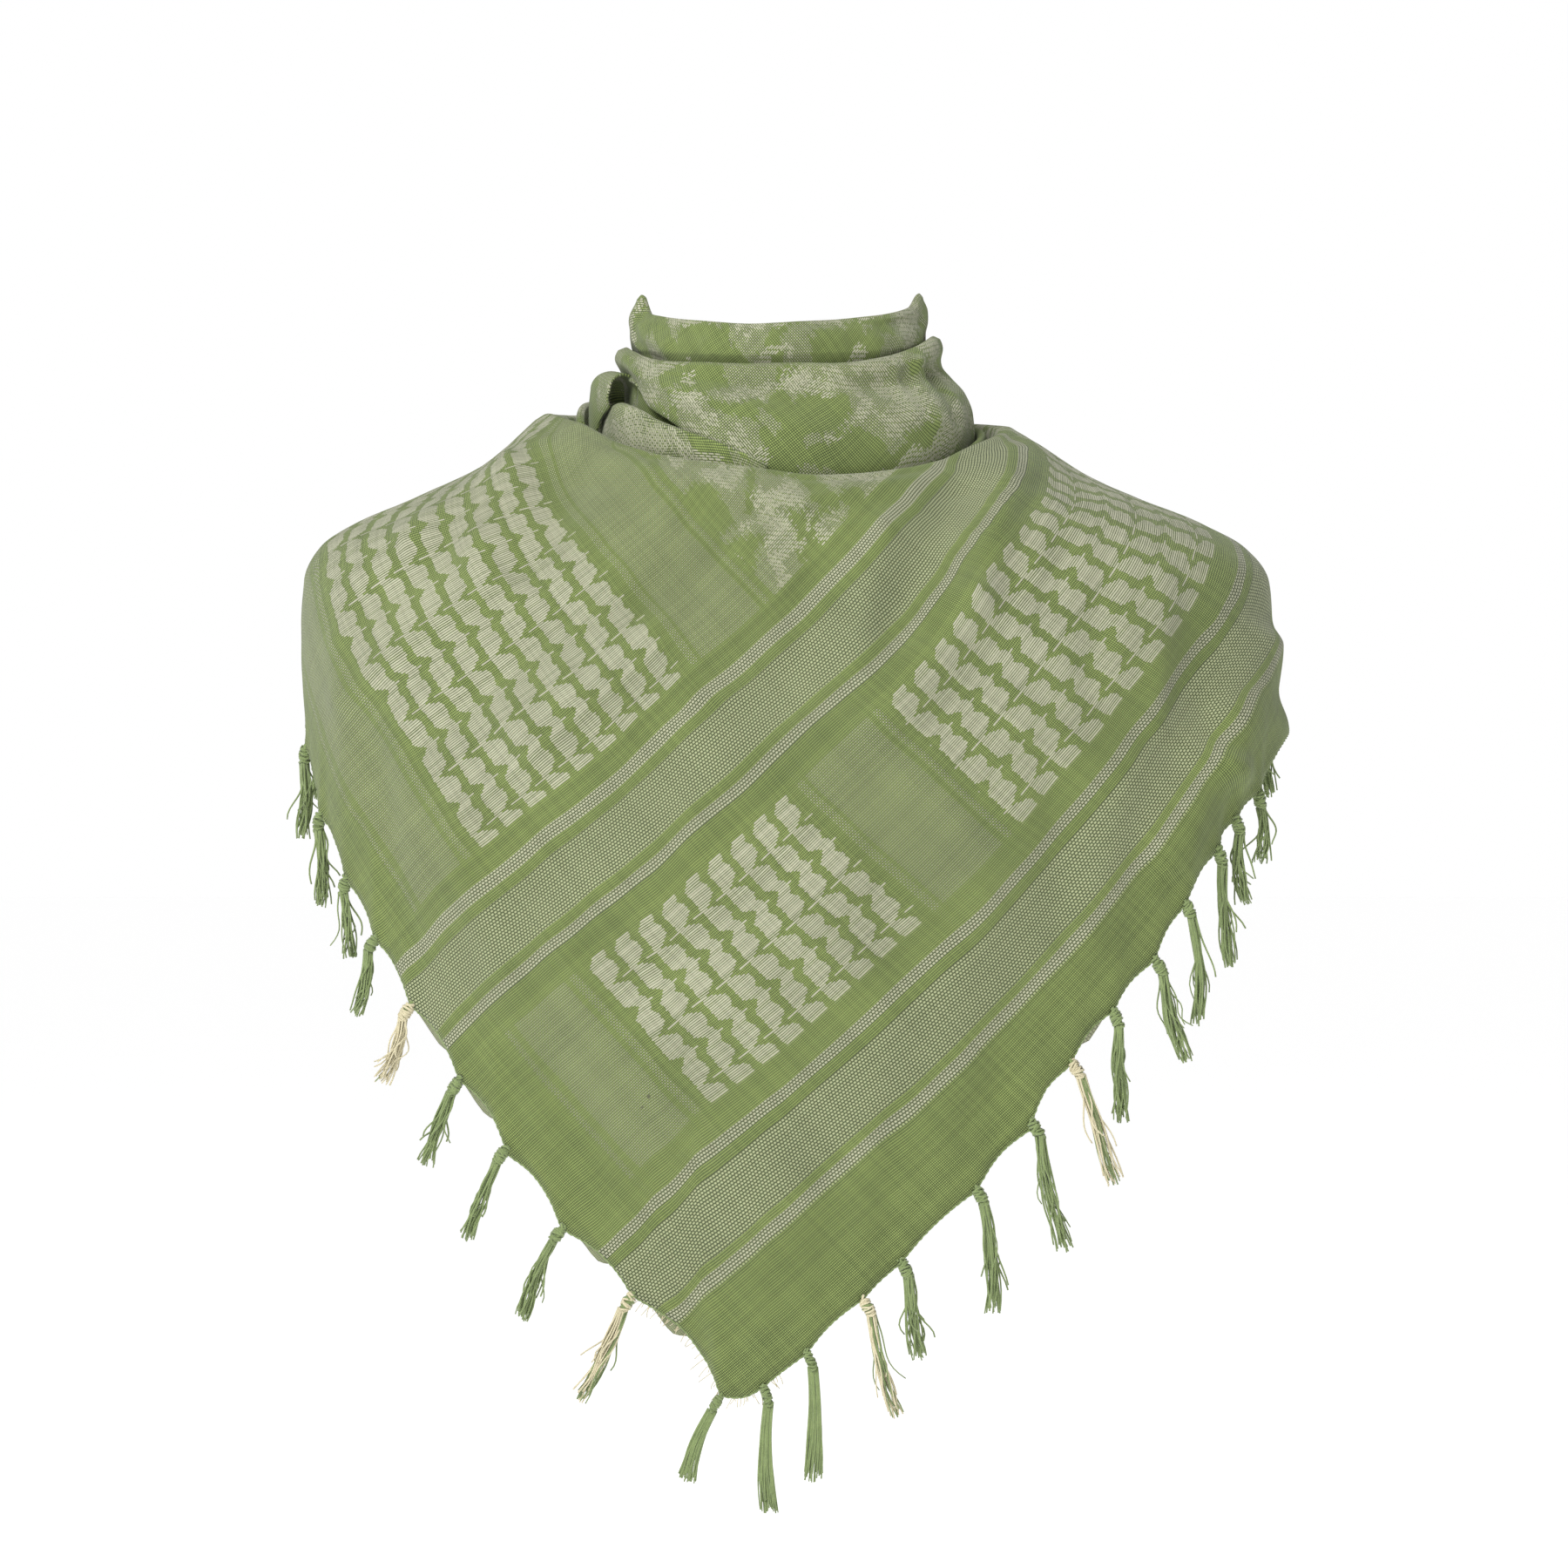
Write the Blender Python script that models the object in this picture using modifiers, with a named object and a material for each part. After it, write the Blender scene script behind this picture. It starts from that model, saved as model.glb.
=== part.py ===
# Square woven scarf, folded corner to corner and worn round the neck with its point on the chest.
# Metres, +Z up. The wearer would face -Y. The origin is the middle of the neck's base.
# Azimuth is in degrees round the neck: 0 at the front, -90 at -X, 90 at +X, 180 at the nape.

import math
import random

import bmesh
import bpy
import numpy as np
from mathutils import Vector

MM = 0.001

# Driving sizes
CLOTH_WALL = 0.0014
ROLL_WALL = 0.0020
SEAM_GAP = 0.0003
LAYER_SEAT = 0.0005
LAYER_GAP = 0.0010
LAYER_SHORT = 0.0028
NECK_RADIUS = 0.075

# Knots and strands of the tassels. A knot's rings each have a share of its length and a radius.
KNOT_LENGTH = 0.0078
KNOT_SIDES = 5
KNOT_SHARES = (0.0, 0.22, 0.58, 0.90, 1.0)
KNOT_RADII = (0.0, 0.0028, 0.0036, 0.0026, 0.0)
KNOT_TIE_IN = 0.6
KNOT_DROOP = 1.6
STRAND_PARTS = 2
STRAND_INSET = 0.00045
STRAND_SPLAY = 0.55
STRAND_LENGTHS = (0.9, 1.0)
STRAND_SWAY = (0.0006, 0.0012)
TASSEL_SEED = 7

# Folds start below the neck edge, fade in over some rings and fade out beyond both of their ends.
# They also fade out at the sides, where the front of the bib meets its back.
FOLD_RINGS = 2
FOLD_FADE = 0.25
FOLD_START = 0.0025
SIDE_FADE = 0.018

# The small curl under a turn's top edge
CURL_DROP = 0.0055
CURL_REACH = 0.0055

# How fine the cloth is laid out
FRONT_COLUMNS = 42
BACK_COLUMNS = 16
BIB_ROWS = 16
LAYER_ROWS = 6
TURN_COLUMNS = 38
NAPE_COLUMNS = 24
ROLL_COLUMNS = 26
ROLL_LEG_ROWS = 3
ROLL_ARCH_ROWS = 4
ROLL_HANG_ROWS = 3
HEM_STEPS = 4
SAMPLES = 1500

# How far round from the front, in degrees, the fine columns and the second layer reach
FRONT_REACH = 92
LAYER_REACH = 86

# Rings of the bib in millimetres, from the edge tucked in at the neck down to the point.
# Half widths are to the left and right, depths to the front and back.
# The neck edge rises and falls round the neck, and edge_share of that reaches each ring.
# Squared is how far a ring is fuller than an ellipse between its front and its sides.
BIB_RINGS = (
    ("height", "left", "right", "front", "back", "edge_share", "squared"),
    (-9, 104, 106, 80, 93, 1.0, 0.0),
    (-1, 107, 109, 82, 95, 1.0, 0.0),
    (0, 111, 114, 86, 98, 1.0, 0.0),
    (-2.5, 116, 119, 89, 101, 1.0, 0.01),
    (-9, 125, 132, 92, 103, 0.8, 0.04),
    (-20, 143, 152, 95, 106, 0.55, 0.08),
    (-32, 172, 181, 98, 109, 0.35, 0.12),
    (-42, 199, 207, 101, 112, 0.25, 0.15),
    (-54, 221, 229, 104, 115, 0.15, 0.17),
    (-70, 230, 240, 107, 118, 0.08, 0.18),
    (-92, 231, 242, 111, 120, 0.0, 0.18),
    (-120, 230, 243, 116, 121, 0.0, 0.18),
    (-142, 229, 250, 119, 121, 0.0, 0.18),
    (-180, 229, 250, 122, 121, 0.0, 0.18),
    (-240, 226, 248, 124, 121, 0.0, 0.18),
    (-310, 216, 240, 124, 121, 0.0, 0.18),
    (-390, 196, 225, 121, 121, 0.0, 0.18),
    (-470, 170, 200, 116, 121, 0.0, 0.18),
)

# The ring where the edge tucked in at the neck ends
LIP_RING = 3.0

# Height of the bib's neck edge round the neck
NECK_EDGE = (
    ("azimuth", "height"),
    (-180, 13),
    (-130, 13),
    (-85, 12),
    (-60, 7),
    (-43, -4),
    (-25, -11),
    (-7, -16),
    (10, -20),
    (28, -17),
    (45, -12),
    (62, -3),
    (85, 4),
    (130, 10),
    (180, 13),
)

# The front hem and its tassels, from the left side down to the point and up to the right side.
# Each row is a place on the hem where a tassel hangs, how far its end swings, how long it is, its
# yarn (0 green, 1 beige) and how far the hem curves in between it and the next one.
FRONT_TASSELS = (
    ("across", "height", "swing", "length", "yarn", "sag"),
    (-227.5, -150, -1, 44, 0, 1),
    (-219, -183, 3, 46, 0, 1.5),
    (-206.5, -213.5, 5, 40, 0, 1.5),
    (-191.5, -242, -8, 40, 0, 2),
    (-174, -274, -14, 41, 1, 3),
    (-150.5, -309, -15, 44, 0, 4),
    (-127.5, -344, -19, 48, 0, 4),
    (-101, -380, -17, 48, 0, 4),
    (-67.5, -411.5, -27, 56, 1, 7),
    (-26, -459, -16, 44, 0, -3),
    (-5.5, -454, 0, 60, 0, 0),
    (15, -438, -1, 62, 0, 2),
    (41.5, -412.5, 15, 58, 1, 0.5),
    (60, -395, 6, 48, 0, 2),
    (95.5, -361, 5, 60, 0, 3),
    (122, -332, 13, 64, 0, 4),
    (141, -301.5, 20, 62, 1, 3),
    (161, -276, 1, 54, 0, 2),
    (181, -252, 13, 52, 0, 2),
    (196, -225.5, 4, 60, 0, 2),
    (211, -199, 5, 58, 0, 0.5),
    (221.5, -184, 4, 42, 0, 1),
    (232, -172, -1, 34, 0, 1),
)
# Where the front hem passes the silhouette at each side
HEM_ENDS = (
    ("across", "height"),
    (-228.5, -141),
    (249, -143),
)

# The hidden hem, which rises from each side to the nape
BACK_HEM = (
    ("azimuth", "height"),
    (100, -134),
    (115, -112),
    (130, -88),
    (145, -64),
    (160, -42),
    (172, -28),
    (180, -24),
)

# Soft folds of the bib, as ridges (or troughs below zero) between two places seen from the front
# or, where face is -1, from behind. Reach is how far a fold spreads to each side.
BIB_FOLDS = (
    ("face", "from_across", "from_height", "to_across", "to_height", "rise", "reach"),
    (1, -114, -2, -146, -58, 7, 11),
    (1, -96, -22, -120, -66, -5, 12),
    (1, -56, -92, -120, -144, 8, 15),
    (1, -24, -60, -90, -112, -5, 16),
    (1, 118, -4, 94, -78, 8, 13),
    (1, 94, -78, 48, -142, 8, 15),
    (1, 88, -26, 58, -94, -5, 13),
    (1, 238, -100, 214, -160, 7, 13),
    (1, 214, -160, 188, -206, 7, 13),
    (1, 206, -96, 188, -150, -3, 13),
    (1, 150, -40, 168, -96, 3, 17),
    (1, 92, -300, 76, -338, 4, 12),
    (1, -190, -96, -150, -226, 3, 24),
    (1, 30, -190, -6, -410, 4, 36),
    (1, 128, -220, 96, -330, -4, 20),
    (1, -70, -260, -92, -350, -2, 22),
    (-1, -60, -4, -150, -70, 5, 14),
    (-1, 60, -4, 150, -70, 5, 14),
    (-1, -30, -10, -90, -70, -4, 13),
    (-1, 30, -10, 90, -70, -4, 13),
    (-1, -130, -40, -190, -110, 4, 16),
    (-1, 130, -40, 190, -110, 4, 16),
)

# Where the second layer shows below the hem, and how far
LAYER_PEEKS = (
    ("across", "beyond", "reach"),
    (-164, 7, 8),
    (-141, 7, 8),
    (-86, 6, 8),
    (-50, 7, 9),
    (151, 6, 6),
)

# The turns round the neck: the ellipse that each one follows
NECK_OVALS = {
    "upper": {"middle": 2 * MM, "width": 68 * MM, "front": 61 * MM, "back": 62 * MM},
    "lower": {"middle": 2 * MM, "width": 75 * MM, "front": 69 * MM, "back": 70 * MM},
    "roll": {"middle": 2 * MM, "width": 75 * MM, "front": 69 * MM, "back": 72 * MM},
    "nape": {"middle": 2 * MM, "width": 94 * MM, "front": 84 * MM, "back": 88 * MM},
}

# Each station of a turn has its top and bottom, how far it stands out, its bulge and the curl under
# its top edge. A profile runs from the tucked edge down: share of the height, drop below the top,
# share of the bulge, and how far it is tucked in.
UPPER_STATIONS = (
    ("azimuth", "top", "bottom", "out", "bulge", "curl"),
    (-180, 56, 6, 0, 3, 0),
    (-120, 58, 6, 0, 4, 0),
    (-100, 60, 6, 0, 5, 0),
    (-86, 70, 6, 1, 4.5, 0),
    (-74, 60.5, 6, -0.5, 5, 0),
    (-62, 58.6, 6, -0.5, 4, 0),
    (-42, 56.3, 6, 0, 4, 0),
    (-12, 53.9, 6, 0, 3.5, 0),
    (24, 55.9, 6, 0, 3.5, 0),
    (49, 59.2, 6, 0, 4, 0),
    (72, 63.8, 6, 0.5, 3, 0),
    (86, 71, 6, 2, 1.5, 0),
    (100, 61, 6, 0, 4, 0),
    (120, 58, 6, 0, 4, 0),
    (180, 56, 6, 0, 3, 0),
)
UPPER_PROFILE = (
    ("share", "drop", "swell", "in"),
    (0.0, 9, 0.0, 5),
    (0.0, 1.5, 0.0, 4),
    (0.0, 0.0, 0.0, 1.8),
    (0.0, 2.0, 0.08, 0),
    (0.13, 0.0, 0.50, 0),
    (0.24, 0.0, 0.90, 0),
    (0.31, 0.0, 0.9, 0),
    (0.38, 0.0, 0.45, 0),
    (0.48, 0.0, 0.1, 0),
    (0.70, 0.0, 0.05, 0),
    (1.0, 0.0, 0.0, 0),
)
LOWER_STATIONS = (
    ("azimuth", "top", "bottom", "out", "bulge", "curl"),
    (-180, 37, -16, 0, 10, 1),
    (-152, 38, -12, 0, 8, 1),
    (-132, 40, 12, 0.5, 4, 2),
    (-114, 42, 30, 1.5, 0.5, 3),
    (-88, 44.5, 31.5, 1.5, 0, 3.8),
    (-72, 42, 31, 1.5, 0, 3.6),
    (-62, 39, 27, 1, 3, 2.5),
    (-50, 36.5, 14, 0.5, 8, 1.5),
    (-40, 35.5, 7, 0, 10, 1.5),
    (-30, 35, 0, 0, 11, 1.5),
    (-20, 34.4, -4, 0, 11, 1.5),
    (-5, 34.4, -7, 0, 11, 1.5),
    (15, 34.4, -12, 0, 11, 1.5),
    (38, 37, -19, 0, 13, 2),
    (60, 43, -24, 1, 17, 2.5),
    (85, 50, -22, 2, 18, 2.5),
    (104, 47, -20, 1, 17, 3),
    (135, 39, -18, 0.5, 12, 1),
    (180, 37, -16, 0, 10, 1),
)
LOWER_PROFILE = (
    ("share", "drop", "swell", "in"),
    (0.0, 6, 0.0, 4.3),
    (0.0, 1.2, 0.0, 3.6),
    (0.0, 0.0, 0.0, 1.7),
    (0.0, 1.5, 0.0, 0),
    (0.09, 1.3, 0.02, 0),
    (0.18, 1.2, 0.06, 0),
    (0.27, 1.0, 0.35, 0),
    (0.38, 0.8, 0.76, 0),
    (0.52, 0.6, 0.97, 0),
    (0.66, 0.4, 1.0, 0),
    (0.83, 0.2, 0.97, 0),
    (1.0, 0.0, 0.88, 0),
)

# Soft folds of the turns, as ridges (or troughs below zero) between two places
UPPER_FOLDS = (
    ("from_azimuth", "from_height", "to_azimuth", "to_height", "rise", "reach"),
    (-84, 60, -50, 43, 2.0, 5),
    (-66, 58, -34, 46, -1.6, 5),
    (88, 62, 70, 44, 1.8, 5),
    (62, 59, 30, 45, -1.5, 6),
    (40, 52, -10, 42, 1.2, 6),
    (130, 54, 170, 36, 2.0, 6),
    (-140, 52, -175, 38, 2.0, 6),
)
LOWER_FOLDS = (
    ("from_azimuth", "from_height", "to_azimuth", "to_height", "rise", "reach"),
    (58, 40, 56, 6, 3.5, 6),
    (70, 32, 68, 8, -4.0, 6),
    (-58, 34, -8, 8, 2.0, 7),
    (-30, 26, 30, 4, -1.6, 7),
    (20, 24, 52, -6, 1.8, 8),
    (120, 34, 165, 0, 2.5, 9),
    (-128, 34, -165, 6, 2.5, 9),
)
NAPE_STATIONS = (
    ("azimuth", "top", "bottom", "out", "bulge", "curl"),
    (70, -5, -17, 5, 1, 0),
    (80, 0, -15, 6, 1, 0),
    (94, 4.5, -12, 5, 2.5, 0),
    (112, 9, -12, 3, 3, 0),
    (140, 17, -8, 1, 3.5, 0),
    (180, 22, -4, 1, 3.5, 0),
    (220, 21, -6, 1.5, 3.5, 0),
    (245, 20, -10, 3, 3.0, 0),
    (262, 17, -12, 4, 2.5, 0),
    (276, 8, -12, 4, 2, 0),
)
NAPE_PROFILE = (
    ("share", "drop", "swell", "in"),
    (0.0, 5, 0.0, 4),
    (0.0, 1.0, 0.0, 3),
    (0.0, 0.0, 0.2, 1.2),
    (0.10, 0.0, 0.5, 0),
    (0.45, 0.0, 1.0, 0),
    (1.0, 0.0, 0.6, 0),
)

# The rolled stretch at the left of the neck: an inner leg, an arch over the hollow and an outer
# leg that hangs from it. Inner and outer are how far the legs stand out from the ellipse.
ROLL_STATIONS = (
    ("azimuth", "bottom", "top", "inner", "outer", "hang", "flare"),
    (-130, -8, 12, 0, 4, 3, 0),
    (-118, -8, 23, 0, 11, 16, 0),
    (-100, -8, 31, 0, 15.5, 27, 0),
    (-80, -8, 32, 0, 16.5, 27, 0),
    (-69, -9, 30.5, 0, 15.5, 20, 0),
    (-62, -12, 24, 0, 10.0, 6, 1),
    (-52, -16, 17, -0.5, 3.0, 1.2, 4),
    (-36, -22, 8, -0.5, 2.6, 1.0, 7),
    (-15, -26, -1, -0.5, 2.4, 1.0, 8),
    (10, -28, -7, -0.5, 2.4, 1.0, 9),
    (42, -28, -16, -1.0, 2.4, 1.0, 9),
)

# Tassels of the hidden hem, the same on both sides
BACK_TASSELS = (
    ("azimuth", "swing", "length", "yarn"),
    (103, 2, 44, 0),
    (114, -2, 50, 0),
    (125, 3, 46, 1),
    (137, 0, 52, 0),
    (150, 2, 48, 0),
    (165, -3, 44, 0),
)

COLOURS = {
    "bib": (0.205, 0.240, 0.110, 1),
    "under_layer": (0.330, 0.335, 0.215, 1),
    "collar_upper": (0.230, 0.262, 0.130, 1),
    "collar_lower": (0.215, 0.250, 0.120, 1),
    "side_roll": (0.225, 0.258, 0.128, 1),
    "nape_wrap": (0.225, 0.258, 0.128, 1),
}
YARN_COLOURS = ((0.088, 0.142, 0.045, 1), (0.560, 0.470, 0.310, 1))


# Columns of the tables that hold no length
PLAIN_COLUMNS = (
    "azimuth", "from_azimuth", "to_azimuth", "edge_share", "squared",
    "share", "swell", "face", "yarn",
)


def clear_scene():
    for thing in list(bpy.data.objects):
        bpy.data.objects.remove(thing, do_unlink=True)


def columns(table):
    # A table as named columns, with lengths in metres
    names, *rows = table
    values = np.array(rows, float)
    scale = [1 if name in PLAIN_COLUMNS else MM for name in names]
    return {name: values[:, i] * scale[i] for i, name in enumerate(names)}


def eased(at, stations, values):
    # A smooth curve through the stations that never overshoots them
    at = np.clip(at, stations[0], stations[-1])
    step = np.diff(stations)
    slope = np.diff(values) / step
    product = slope[:-1] * slope[1:]
    total = np.where(slope[:-1] + slope[1:] == 0, 1, slope[:-1] + slope[1:])
    inner = np.where(product > 0, 2 * product / total, 0)
    tangent = np.concatenate([slope[:1], inner, slope[-1:]])
    i = np.clip(np.searchsorted(stations, at, side="right") - 1, 0, len(step) - 1)
    u = (at - stations[i]) / step[i]
    start = values[i] * (1 + 2 * u) * (1 - u) ** 2 + tangent[i] * step[i] * u * (1 - u) ** 2
    end = values[i + 1] * u * u * (3 - 2 * u) + tangent[i + 1] * step[i] * u * u * (u - 1)
    return start + end


RINGS = columns(BIB_RINGS)
EDGE = columns(NECK_EDGE)
RING_NUMBERS = np.arange(len(RINGS["height"]), dtype=float)


def bib_height(azimuth, ring):
    rise = eased(azimuth, EDGE["azimuth"], EDGE["height"])
    height = eased(ring, RING_NUMBERS, RINGS["height"])
    return height + eased(ring, RING_NUMBERS, RINGS["edge_share"]) * rise


def bib_base(azimuth, ring):
    # The bib with no folds
    size = {name: eased(ring, RING_NUMBERS, RINGS[name]) for name in RINGS}
    across = np.sin(np.radians(azimuth))
    ahead = np.cos(np.radians(azimuth))
    wide = np.where(across < 0, size["left"], size["right"])
    deep = np.where(ahead > 0, size["front"], size["back"])
    x = wide * across
    y = -deep * ahead * (1 + size["squared"] * across ** 2)
    return np.stack([x, y, bib_height(azimuth, ring)], axis=-1)


def ring_at(azimuth, height):
    # The ring of the bib that passes this height at this azimuth
    rings = np.linspace(LIP_RING, RING_NUMBERS[-1], SAMPLES)
    return np.interp(-height, -bib_height(np.full_like(rings, azimuth), rings), rings)


def front_hem():
    # The front hem seen from the front: straight runs from knot to knot, each curved in by its sag
    knots = columns(FRONT_TASSELS)
    ends = columns(HEM_ENDS)
    across = np.concatenate([ends["across"][:1], knots["across"], ends["across"][1:]])
    height = np.concatenate([ends["height"][:1], knots["height"], ends["height"][1:]])
    sag = np.concatenate([[0], knots["sag"]])
    places = []
    for i in range(len(sag)):
        start = np.array([across[i], height[i]])
        run = np.array([across[i + 1], height[i + 1]]) - start
        inward = np.array([-run[1], run[0]]) / np.linalg.norm(run)
        for step in range(HEM_STEPS):
            share = step / HEM_STEPS
            places.append(start + run * share + inward * sag[i] * math.sin(math.pi * share))
    places.append(np.array([across[-1], height[-1]]))
    return places


def hem_line():
    # The azimuths and rings of the whole hem, from the nape round to the nape
    back = columns(BACK_HEM)
    found = []
    for across, height in front_hem():
        ring = ring_at(0, height)
        side = "left" if across < 0 else "right"
        wide = eased(np.array([ring]), RING_NUMBERS, RINGS[side])[0]
        azimuth = math.degrees(math.asin(max(-1, min(1, across / wide))))
        found.append((azimuth, height))
    rear = list(zip(back["azimuth"], back["height"]))
    found = [(-azimuth, height) for azimuth, height in reversed(rear)] + found + rear
    azimuths = np.array([azimuth for azimuth, _ in found])
    rings = np.array([ring_at(azimuth, height) for azimuth, height in found])
    return azimuths, rings


HEM_AZIMUTHS, HEM_RINGS = hem_line()
POINT_AZIMUTH = HEM_AZIMUTHS[np.argmax(HEM_RINGS)]


def hem_ring(azimuth):
    return np.interp(azimuth, HEM_AZIMUTHS, HEM_RINGS)


def ridge(across, height, start, end, reach):
    # How strongly a fold from start to end lifts each place, fading beyond its ends
    run = np.array(end) - np.array(start)
    away_x = across - start[0]
    away_z = height - start[1]
    along = (away_x * run[0] + away_z * run[1]) / (run @ run)
    held = np.clip(along, 0, 1)
    gap = np.hypot(away_x - held * run[0], away_z - held * run[1])
    ends = np.clip(np.minimum(along, 1 - along) / FOLD_FADE + 1, 0, 1)
    return np.exp(-(gap / reach) ** 2) * ends * ends * (3 - 2 * ends)


def outward(points):
    # Unit normals of a grid of points, away from the neck
    down = np.gradient(points, axis=0)
    round_neck = np.gradient(points, axis=1)
    normal = np.cross(down, round_neck)
    return normal / np.linalg.norm(normal, axis=-1, keepdims=True)


def fold_rise(points):
    # How far the folds lift the bib at these points
    rise = np.zeros(points.shape[:-1])
    folds = columns(BIB_FOLDS)
    for i in range(len(folds["rise"])):
        start = (folds["from_across"][i], folds["from_height"][i])
        end = (folds["to_across"][i], folds["to_height"][i])
        lift = folds["rise"][i] * ridge(points[..., 0], points[..., 2], start, end, folds["reach"][i])
        rise += np.where(points[..., 1] * folds["face"][i] < 0, lift, 0)
    return rise


def with_folds(points, grid_rings):
    # Folds fade out at the neck edge, where the bib lies close to the turns
    fade = np.clip((grid_rings - LIP_RING) / FOLD_RINGS, 0, 1)[..., None]
    side_fade = np.clip(np.abs(points[..., 1:2]) / SIDE_FADE, 0, 1)
    return points + outward(points) * fold_rise(points)[..., None] * fade * side_fade


def bib_azimuths():
    # Columns of the bib, closer together at the front, with one at the point
    front = np.linspace(-FRONT_REACH, FRONT_REACH, FRONT_COLUMNS + 1)
    front[np.argmin(np.abs(front - POINT_AZIMUTH))] = POINT_AZIMUTH
    back = np.linspace(FRONT_REACH, 360 - FRONT_REACH, BACK_COLUMNS + 1)[1:]
    back = np.where(back > 180, back - 360, back)
    return np.sort(np.concatenate([front[1:], back]))


def bib_rings(azimuths):
    # The ring that each point of the bib lies on: the tucked edge's own, then evenly down to the hem
    tucked = np.repeat(np.arange(LIP_RING)[:, None], len(azimuths), axis=1)
    hanging = np.linspace(LIP_RING, hem_ring(azimuths), BIB_ROWS)
    return np.concatenate([tucked, hanging])


def bib_surface(azimuths, rings):
    angles = np.broadcast_to(azimuths, rings.shape)
    return with_folds(bib_base(angles, rings), rings)


def bib_grid(azimuths):
    return bib_surface(azimuths, bib_rings(azimuths))


def cloth_object(name, points, closed, wall, offset):
    # A grid of points as an open sheet of triangles, given its thickness by Solidify
    rows, across = points.shape[:2]
    sheet = bmesh.new()
    bmesh.ops.create_grid(sheet, x_segments=across - 1, y_segments=rows - 1, size=0.5)
    sheet.verts.ensure_lookup_table()
    order = sorted(sheet.verts, key=lambda vert: (-round((vert.co.y + 0.5) * (rows - 1)), vert.co.x))
    for vert, place in zip(order, points.reshape(-1, 3)):
        vert.co = Vector(place)
    if closed:
        bmesh.ops.remove_doubles(sheet, verts=sheet.verts[:], dist=0.00001)
    bmesh.ops.recalc_face_normals(sheet, faces=sheet.faces[:])
    face = max(sheet.faces, key=lambda f: f.calc_center_median().length_squared)
    middle = face.calc_center_median()
    if face.normal.dot(Vector((middle.x, middle.y, 0))) < 0:
        bmesh.ops.reverse_faces(sheet, faces=sheet.faces[:])
    bmesh.ops.triangulate(sheet, faces=sheet.faces[:], quad_method="FIXED")
    mesh = bpy.data.meshes.new(name)
    sheet.to_mesh(mesh)
    sheet.free()
    mesh.shade_smooth()
    cloth = bpy.data.objects.new(name, mesh)
    thicken = cloth.modifiers.new("Cloth wall", "SOLIDIFY")
    thicken.thickness = wall
    thicken.offset = offset
    return cloth


def make_bib():
    azimuths = bib_azimuths()
    grid = bib_grid(azimuths)
    grid = np.concatenate([grid, grid[:, :1]], axis=1)
    return cloth_object("bib", grid, True, CLOTH_WALL, -1)


def layer_hem(azimuths):
    # The second layer stops a little short of the hem, but for the places where it peeks out
    edge = hem_ring(azimuths)
    here = bib_base(azimuths, edge)
    above = bib_base(azimuths, edge - 1)
    per_ring = np.linalg.norm(here - above, axis=-1)
    peeks = columns(LAYER_PEEKS)
    reach = -np.full(len(azimuths), LAYER_SHORT)
    for across, beyond, spread in zip(peeks["across"], peeks["beyond"], peeks["reach"]):
        reach += (beyond + LAYER_SHORT) * np.exp(-((here[:, 0] - across) / spread) ** 2)
    return edge + reach / per_ring


def make_under_layer():
    azimuths = bib_azimuths()
    azimuths = azimuths[np.abs(azimuths) < LAYER_REACH]
    rings = bib_rings(azimuths)[-LAYER_ROWS:]
    rings[-1] = layer_hem(azimuths)
    grid = bib_surface(azimuths, rings)
    gap = np.linspace(LAYER_SEAT, LAYER_GAP, len(rings))[:, None, None]
    grid = grid - outward(grid) * (CLOTH_WALL + gap)
    return cloth_object("under_layer", grid, False, CLOTH_WALL, -1)


def oval_point(oval, azimuth, out):
    # A point of the ellipse, moved straight out from it
    across = np.sin(np.radians(azimuth))
    ahead = np.cos(np.radians(azimuth))
    deep = np.where(ahead > 0, oval["front"], oval["back"])
    normal_x = across * deep
    normal_y = -ahead * oval["width"]
    length = np.hypot(normal_x, normal_y)
    x = oval["middle"] + oval["width"] * across + out * normal_x / length
    y = -deep * ahead + out * normal_y / length
    return x, y


def turn_folds(folds, azimuths, z):
    # The folds of a turn, with azimuths laid out as arc along the neck
    folds = columns(folds)
    arc = np.radians(azimuths) * NECK_RADIUS
    rise = np.zeros(z.shape)
    for i in range(len(folds["rise"])):
        start = (math.radians(folds["from_azimuth"][i]) * NECK_RADIUS, folds["from_height"][i])
        end = (math.radians(folds["to_azimuth"][i]) * NECK_RADIUS, folds["to_height"][i])
        rise += folds["rise"][i] * ridge(arc, z, start, end, folds["reach"][i])
    return rise


def turn_grid(oval, stations, profile, folds, azimuths):
    # A turn of cloth round the neck: its profile, from the tucked edge down, at each azimuth
    stations = columns(stations)
    profile = columns(profile)
    at = {name: eased(azimuths, stations["azimuth"], stations[name]) for name in stations}
    height = at["top"] - at["bottom"]
    drop = profile["drop"][:, None] + profile["share"][:, None] * height
    z = at["top"] - drop
    out = at["out"] + profile["swell"][:, None] * at["bulge"] - profile["in"][:, None]
    out = out + at["curl"] * np.exp(-((drop - CURL_DROP) / CURL_REACH) ** 2) * (profile["in"][:, None] == 0)
    if folds:
        below_edge = np.clip(drop / FOLD_START - 1, 0, 1) * (1 - profile["share"][:, None] ** 2)
        out = out + turn_folds(folds, azimuths, z) * below_edge
    x, y = oval_point(oval, np.broadcast_to(azimuths, z.shape), out)
    return np.stack([x, y, z], axis=-1)


def make_turn(name, oval, stations, profile, folds):
    azimuths = np.linspace(-180, 180, TURN_COLUMNS + 1)
    grid = turn_grid(NECK_OVALS[oval], stations, profile, folds, azimuths)
    grid[:, -1] = grid[:, 0]
    return cloth_object(name, grid, True, CLOTH_WALL, -1)


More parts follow.
